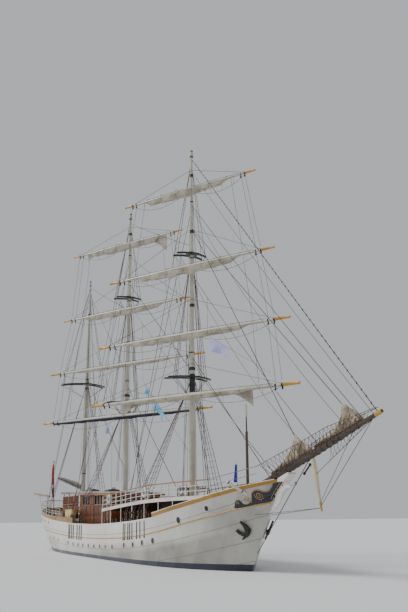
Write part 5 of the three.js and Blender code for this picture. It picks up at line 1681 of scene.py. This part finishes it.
for side in (-1, 1):
    wall = ("x", side * HOUSE_SIDE, side)
    for a, b in SIDE_OPENINGS:
        window(wall, a, b, 2)
    for a, b in ((-6.7, -5.9), (-5.72, -4.7), (-4.6, -3.5), (-3.3, -2.4), (-2.25, -1.15),
                 (-1.05, 0.15), (0.25, 0.68), (1.64, 2.14)):
        panelling(wall, a, b)
    for a, b in ((-6.7, -5.9), (-3.3, -2.45), (1.64, 2.14)):
        wall_board(panels, wall, a, b, SILL, HEAD + 0.04, 0.02, ease=0.015)
for x, out in ((HOUSE_AFT, -1), (HOUSE_FORE, 1)):
    wall = ("y", x, out)
    for a, b in END_OPENINGS:
        middle = (a + b) / 2
        window(wall, a, b, 1)
        panelling(wall, a, middle - 0.05)
        panelling(wall, middle + 0.05, b)
piece("window_frames", frames, PINE_LONG)
piece("wall_panels", panels, MAHOGANY_UPRIGHT)
piece("window_panes", panes, WINDOW_GLASS, smooth=False)

# %% Fascia under the roof's edge
def fascia(x0, x1, y0, y1, level_x=None):
    """A board under the roof's edge, which follows its slope or keeps the level at one length."""
    for vert in bmesh.ops.create_cube(bm, size=1)["verts"]:
        x = x0 if vert.co.x < 0 else x1
        top = rows(ROOF_Z, x if level_x is None else level_x)
        vert.co = at(x, y0 if vert.co.y < 0 else y1, top - (0.23 if vert.co.z < 0 else 0.02))


bm = bmesh.new()
for side in (-1, 1):
    fascia(-12.6, 2.5, side * 2.452, side * 2.482)
fascia(-12.65, -12.62, -2.48, 2.48, -12.62)
fascia(2.52, 2.55, -2.48, 2.48, 2.52)
eased(bm, bm.verts, 0.008)
piece("roof_fascia", bm, PINE_LONG)

# %% [markdown]
# ## Door fittings
# Each leaf is a hinged door with a glass in its upper half and a brass knob. The fittings ride on
# the leaf's own body, so they swing with it.

# %% Door fittings
PANE_X, PANE_Z = (0.93, 1.4), (3.72, 4.42)
STILE = 0.08                       # width of the frame round the pane
for side, name in ((-1, "door_starboard"), (1, "door_port")):
    wall = ("x", side * HOUSE_SIDE, side)
    frames, panes, knobs = bmesh.new(), bmesh.new(), bmesh.new()
    wall_board(panes, wall, *PANE_X, *PANE_Z, 0.009, ease=0)
    for z in (PANE_Z[0] - STILE, PANE_Z[1]):
        wall_board(frames, wall, PANE_X[0] - STILE, PANE_X[1] + STILE, z, z + STILE, 0.023,
                   ease=0.006)
    for x in (PANE_X[0] - STILE, PANE_X[1]):
        wall_board(frames, wall, x, x + STILE, *PANE_Z, 0.023, ease=0.006)
    wall_board(frames, wall, 0.88, 1.45, 2.85, 3.52, 0.017, ease=0.012)
    neck, knob = ((1.44, side * (HOUSE_SIDE + out), 3.58) for out in (0.001, 0.05))
    turned(knobs, neck, knob, 0.012, sides=10)
    ball(knobs, knob, 0.03, (1, 0.8, 1), 12)
    piece(f"{name}_frames", frames, MAHOGANY_LONG, name)
    piece(f"{name}_glass", panes, WINDOW_GLASS, name, smooth=False)
    piece(f"{name}_knob", knobs, BRASS, name)

# %% [markdown]
# ## Shelter behind the house
# Behind the house the roof stands on posts. Its sides are closed to half height by dark boards with
# pine slats across them, which keep the wind off. Each slat is one sawn board.

# %% Slatted sides
backs, slats, rails = bmesh.new(), bmesh.new(), bmesh.new()
for side in (-1, 1):
    wall = ("x", side * 2.3, side)
    for x0, x1 in ((-12.3, -10.6), (-10.4, -8.7), (-8.5, -7.0)):
        wall_board(backs, wall, x0, x1, 3.1, 5.2, 0.03, 0, 0.006)
        count = round((x1 - x0) / 0.19)
        for i in range(count):
            x = x0 + (x1 - x0) * (i + 0.5) / count
            wall_board(slats, wall, x - 0.02, x + 0.02, 4.29, 5.12, 0.065, 0.035, 0.004)
    for z in (3.6, 4.4, 5.16):
        wall_board(rails, wall, -12.4, -6.95, z, z + 0.07, 0.085, 0.032, 0.01)
piece("shelter_boards", backs, MAHOGANY_UPRIGHT)
piece("shelter_slats", slats, PINE_LONG)
piece("shelter_rails", rails, MAHOGANY_LONG)

# %% [markdown]
# ## Lifebuoys and lockers
# A lifebuoy is a ring of cork under canvas: white, with four canvas straps that hold a grab line.
# It hangs outside the rail. The cream-yellow boxes beside the house are lockers for deck stores.
# A spare spar lies in crutches on the starboard quarter.

# %% Lifebuoys
BUOY = 0.30                        # radius of the ring's middle line
rings, straps, lines = bmesh.new(), bmesh.new(), []
for x, y, z in ((12.1, 3.26, 4.92), (5.0, 3.44, 4.62)):
    for side in (-1, 1):
        centre = at(x, side * y, z)
        ring(rings, centre, Vector((0, 1, 0)), BUOY, 0.075, 28, 12)
        turns = [Vector((math.cos(a), 0, math.sin(a))) for a in (i / 32 * math.tau
                                                                 for i in range(33))]
        lines.append(([centre + way * (BUOY + 0.08 + 0.05 * abs(2 * way.x * way.z)) * HALF
                       for way in turns], 0.01))
        for way in turns[0:32:8]:
            place, axis = centre + way * BUOY * HALF, Vector((-way.z, 0, way.x))
            turned(straps, (place - axis * 0.02) / HALF, (place + axis * 0.02) / HALF, 0.082,
                   sides=14)
piece("lifebuoys", rings, WHITE_ENAMEL)
piece("lifebuoy_straps", straps, ROOF_ENAMEL)
ropes("lifebuoy_grab_lines", lines, RUNNING_ROPE)

# %% Store lockers
bm, doors = bmesh.new(), bmesh.new()
for side in (-1, 1):
    wall = ("x", side * 3.12, side)
    wall_board(bm, wall, -8.6, -6.2, 2.85, 3.88, 0, -0.37, 0.03)
    wall_board(bm, wall, -8.65, -6.15, 3.881, 3.94, 0.03, -0.4, 0.015)
    for x0, x1 in ((-8.45, -7.5), (-7.35, -6.35)):
        wall_board(doors, wall, x0, x1, 3.0, 3.78, 0.021, ease=0.01)
piece("store_lockers", bm, LOCKER_ENAMEL)
piece("locker_doors", doors, LOCKER_ENAMEL)

# %% Spare spar on the quarter
SPAR_AFT, SPAR_FORE = (-21.57, -2.95, 5.75), (-15.23, -2.95, 5.34)
bm, crutches = bmesh.new(), bmesh.new()
turned(bm, SPAR_AFT, SPAR_FORE, 0.13, 0.09, 16)
for x in (-19.4, -16.2):
    z = rows([(SPAR_AFT[0], SPAR_AFT[2]), (SPAR_FORE[0], SPAR_FORE[2])], x) - 0.13
    foot = on_hull(x, 3.2, -1, -0.1) / HALF
    turned(crutches, (x, foot.y, 3.2), (x, SPAR_AFT[1], z), 0.05, 0.04, 12)
    ring(crutches, at(x, SPAR_AFT[1], z + 0.12), Vector((1, 0, 0)), 0.15, 0.025, 20, 8)
piece("spare_spar", bm, PINE_LONG)
piece("spar_crutches", crutches, WHITE_ENAMEL)
print("house joinery ready")

# %% [markdown]
# ## Signal flags
# Small plain flags of bunting hang from thin halyards between the masts, and a blue pennant from
# a light staff at the bow. Each flag is a grid: one edge lies on its halyard, the rest hangs
# below it in shallow waves that grow away from the line, as light cloth does in little wind.

# %% Signal flags
CYAN_BUNTING = bunting("cyan_bunting", "#58B4D8", "#3B8FB6", 0.6, 260)
LILAC_BUNTING = bunting("lilac_bunting", "#A9A8D8", "#8C8BB8", 0.6, 260)
# A halyard's two ends, and what it is tied up by, in ship metres in the middle plane
HALYARDS = {
    "main": [(2.9, 20.0), (3.2, 14.7), (12.7, 7.8)],
    "mizzen": [(-6.6, 16.4), (-6.5, 12.2), (-4.6, 11.5), (-4.4, 5.3)],
    "fore": [(15.95, 18.9), (15.95, 15.95), (24.4, 11.75)],
}
FLAGS = [
    # name, cloth, halyard, from and to a share of its second leg, drop in ship metres
    ("cyan_flag_a", CYAN_BUNTING, "main", 0.06, 0.16, 0.7),
    ("cyan_flag_b", CYAN_BUNTING, "main", 0.25, 0.5, 0.9),
    ("lilac_flag_a", LILAC_BUNTING, "mizzen", 0.05, 0.62, 1.1),
    ("lilac_flag_b", LILAC_BUNTING, "fore", 0.04, 0.36, 1.0),
]
ropes("signal_halyards", [([at(x, 0, z) for x, z in places], 0.012)
                          for places in HALYARDS.values()], RUNNING_ROPE)
for name, cloth, line, first, last, drop in FLAGS:
    (x0, z0), (x1, z1) = HALYARDS[line][1:3]

    def flag_at(u, v):
        share = first + (last - first) * u
        return at(x0 + (x1 - x0) * share, 0.14 * v * math.sin(u * 8 + v * 3 + drop),
                  z0 + (z1 - z0) * share - 0.015 - drop * v * (1 - 0.3 * u))

    bm, area = draped(30, 18, flag_at)
    wide = math.hypot(x1 - x0, z1 - z0) * (last - first) * HALF
    flag = piece(name, bm, cloth)

# %% Pennant
PENNANT_X, PENNANT_Y, PENNANT_TOP, PENNANT_LOW = 20.85, -0.45, 6.4, 5.3


def pennant_at(u, v):
    """The pennant gathers against its staff, so its folds are deep and narrow."""
    return at(PENNANT_X - 0.03 - (0.12 + 0.3 * v) * u,
              PENNANT_Y + 0.08 * math.sin(u * 15) * min(1, u * 6),
              PENNANT_TOP + (PENNANT_LOW - PENNANT_TOP) * v)


bm, pennant_area = draped(36, 24, pennant_at)
pennant = piece("blue_pennant", bm, bunting("blue_bunting", "#2338C8", "#1A2A92", 0.6, 260))
staff = bmesh.new()
turned(staff, (PENNANT_X, PENNANT_Y, 4.16), (PENNANT_X, PENNANT_Y, PENNANT_TOP + 0.1), 0.025,
       0.018, 10)
piece("pennant_staff", staff, CREAM_ENAMEL)
print("flags hung", len(FLAGS) + 1)

# %% [markdown]
# ## Deck gear
# What a working deck needs is set on the decks' own surfaces, found by a ray from above: glazed
# skylights over the cabins, a covered hatch, a windlass with its two warping heads for the anchors,
# pairs of bitts for the mooring lines, cowl ventilators, and a fife rail of pins round the
# foremast. The round things are spun or turned, and the square ones are boards with eased edges.

# %% Deck gear
DECKS = {name: skin_of(name) for name in ("deck", "promenade_deck", "deckhouse_roof")}
wood, enamel_work, iron, glass = bmesh.new(), bmesh.new(), bmesh.new(), bmesh.new()


def deck_z(deck, x, y=0):
    """The height of a deck's surface, in ship metres."""
    return DECKS[deck].ray_cast(at(x, y, 12), Vector((0, 0, -1)))[0].z / HALF


print("decks at", [round(deck_z("promenade_deck", x), 2) for x in (6.4, 10, 16.6)])

# %% Skylights
def skylight(deck, x, rise, slope, long=1.5, wide=1.0):
    """A coaming with wooden gables and two glazed leaves that slope down from a ridge."""
    z = deck_z(deck, x)
    eaves, ridge = z + rise, z + rise + wide / 2 * math.tan(slope)
    board(wood, (x - long / 2, -wide / 2, z - 0.03), (x + long / 2, wide / 2, eaves), 0.02)
    middle = at(x, 0, (ridge + eaves) / 2)
    for vert in block(wood, middle, (long * HALF, wide * HALF, (ridge - eaves) * HALF)):
        if vert.co.z > middle.z:
            vert.co.y *= 0.02
    for side in (-1, 1):
        for bm, inset, low, high in ((wood, 0, 0, 0.04), (glass, 0.12, 0.04, 0.05)):
            first = len(bm.verts)
            board(bm, (x - long / 2 + inset, side * inset, low),
                  (x + long / 2 - inset, side * (wide / 2 + 0.07 - inset), high), 0.004)
            bm.verts.ensure_lookup_table()
            leaf = bm.verts[first:]
            bmesh.ops.rotate(bm, verts=leaf, matrix=Matrix.Rotation(-side * slope, 3, "X"))
            bmesh.ops.translate(bm, verts=leaf, vec=at(0, 0, ridge + 0.004))
        for i in range(6):
            bar_x = x - long / 2 + 0.15 + (long - 0.3) * i / 5
            turned(iron, (bar_x, side * 0.06, ridge + 0.05 - 0.06 * math.tan(slope)),
                   (bar_x, side * wide / 2, eaves + 0.05), 0.01, sides=8)


SKYLIGHTS = [("promenade_deck", 6.4, 0.3, 0.42), ("deckhouse_roof", -4.2, 0.06, 0.2),
             ("deckhouse_roof", -10.2, 0.06, 0.2), ("deck", -16.8, 0.3, 0.42)]
for deck, x, rise, slope in SKYLIGHTS:
    skylight(deck, x, rise, slope)
print("skylights", len(SKYLIGHTS))

# %% Hatch and fife rail
HATCH_X, HATCH_HALF = 10.0, 0.7
z = deck_z("promenade_deck", HATCH_X)
board(enamel_work, (HATCH_X - HATCH_HALF, -HATCH_HALF, z - 0.03),
      (HATCH_X + HATCH_HALF, HATCH_HALF, z + 0.28), 0.03)
for y in (-0.45, 0, 0.45):
    board(wood, (HATCH_X - 0.75, y - 0.05, z + 0.281), (HATCH_X + 0.75, y + 0.05, z + 0.32), 0.01)

# The fife rail: posts, a rail on three sides of the mast, and its pins
FIFE_AFT, FIFE_FORE, FIFE_SIDE = 12.3, 14.2, 0.75
z = deck_z("promenade_deck", 12.6)
board(wood, (FIFE_AFT - 0.1, -0.84, z + 0.78), (FIFE_AFT + 0.06, 0.84, z + 0.85), 0.015)
pins = [(FIFE_AFT - 0.02, y) for y in (-0.5, -0.25, 0, 0.25, 0.5)]
for y in (-FIFE_SIDE, FIFE_SIDE):
    for x in (FIFE_AFT, FIFE_FORE):
        turned(wood, (x, y, z - 0.03), (x, y, z + 0.85), 0.07, 0.055, 14)
    board(wood, (FIFE_AFT, y - 0.08, z + 0.785), (FIFE_FORE + 0.1, y + 0.08, z + 0.855), 0.015)
    pins += [(12.65 + 0.25 * i, y) for i in range(6)]
for x, y in pins:
    turned(iron, (x, y, z + 0.6), (x, y, z + 1.02), 0.018, 0.028, 10)
print("pins", len(pins))

# %% Ventilators
# A pipe and a bell mouth that looks forward
MOUTH = [(-0.05, 0), (0, 0.1), (0.12, 0.13), (0.24, 0.2), (0.3, 0.235), (0.31, 0.225), (0.2, 0.15),
         (0.05, 0.08), (0.04, 0)]
COWLS = [("promenade_deck", 8.1, 1.5, 0.6), ("promenade_deck", 16.6, 1.3, 0.6),
         ("deckhouse_roof", -7.3, 1.2, 0.2)]
for deck, x, out, tall in COWLS:
    for y in (-out, out):
        z = deck_z(deck, x, y)
        turned(enamel_work, (x, y, z - 0.03), (x, y, z + tall), 0.12, 0.11, 16)
        lathe(enamel_work, MOUTH, at(x - 0.12, y, z + tall - 0.02), Vector((1, 0, 0.25)).normalized())
print("ventilators", 2 * len(COWLS))

# %% Windlass and bitts
WARPING_HEAD = [(-0.01, 0), (0, 0.16), (0.06, 0.12), (0.16, 0.1), (0.26, 0.13), (0.3, 0.18),
                (0.33, 0.17), (0.34, 0.05), (0.345, 0)]
WINDLASS_X, CHEEK_IN, CHEEK_OUT = 21.6, 0.6, 0.7
BITTS = [(22.9, 0.9), (-15.4, 2.3), (-20.6, 1.6)]
z = deck_z("deck", WINDLASS_X)
turned(iron, (WINDLASS_X, -CHEEK_IN, z + 0.5), (WINDLASS_X, CHEEK_IN, z + 0.5), 0.15, sides=20)
for side in (-1, 1):
    board(enamel_work, (WINDLASS_X - 0.22, side * CHEEK_IN, z - 0.03),
          (WINDLASS_X + 0.22, side * CHEEK_OUT, z + 0.78), 0.02)
    lathe(iron, WARPING_HEAD, at(WINDLASS_X, side * CHEEK_OUT, z + 0.5), Vector((0, side, 0)))
for x, out in BITTS:
    for y in (-out, out):
        z = deck_z("deck", x, y)
        for step in (-0.22, 0.22):
            turned(iron, (x + step, y, z - 0.03), (x + step, y, z + 0.42), 0.08, sides=16)
            turned(iron, (x + step, y, z + 0.42), (x + step, y, z + 0.46), 0.1, 0.09, 16)
        turned(iron, (x - 0.4, y, z + 0.22), (x + 0.4, y, z + 0.22), 0.035, sides=12)
piece("deck_joinery", wood, MAHOGANY_LONG)
piece("deck_enamel_work", enamel_work, WHITE_ENAMEL)
piece("deck_ironwork", iron, BLACK_ENAMEL)
piece("skylight_glass", glass, WINDOW_GLASS, smooth=False)
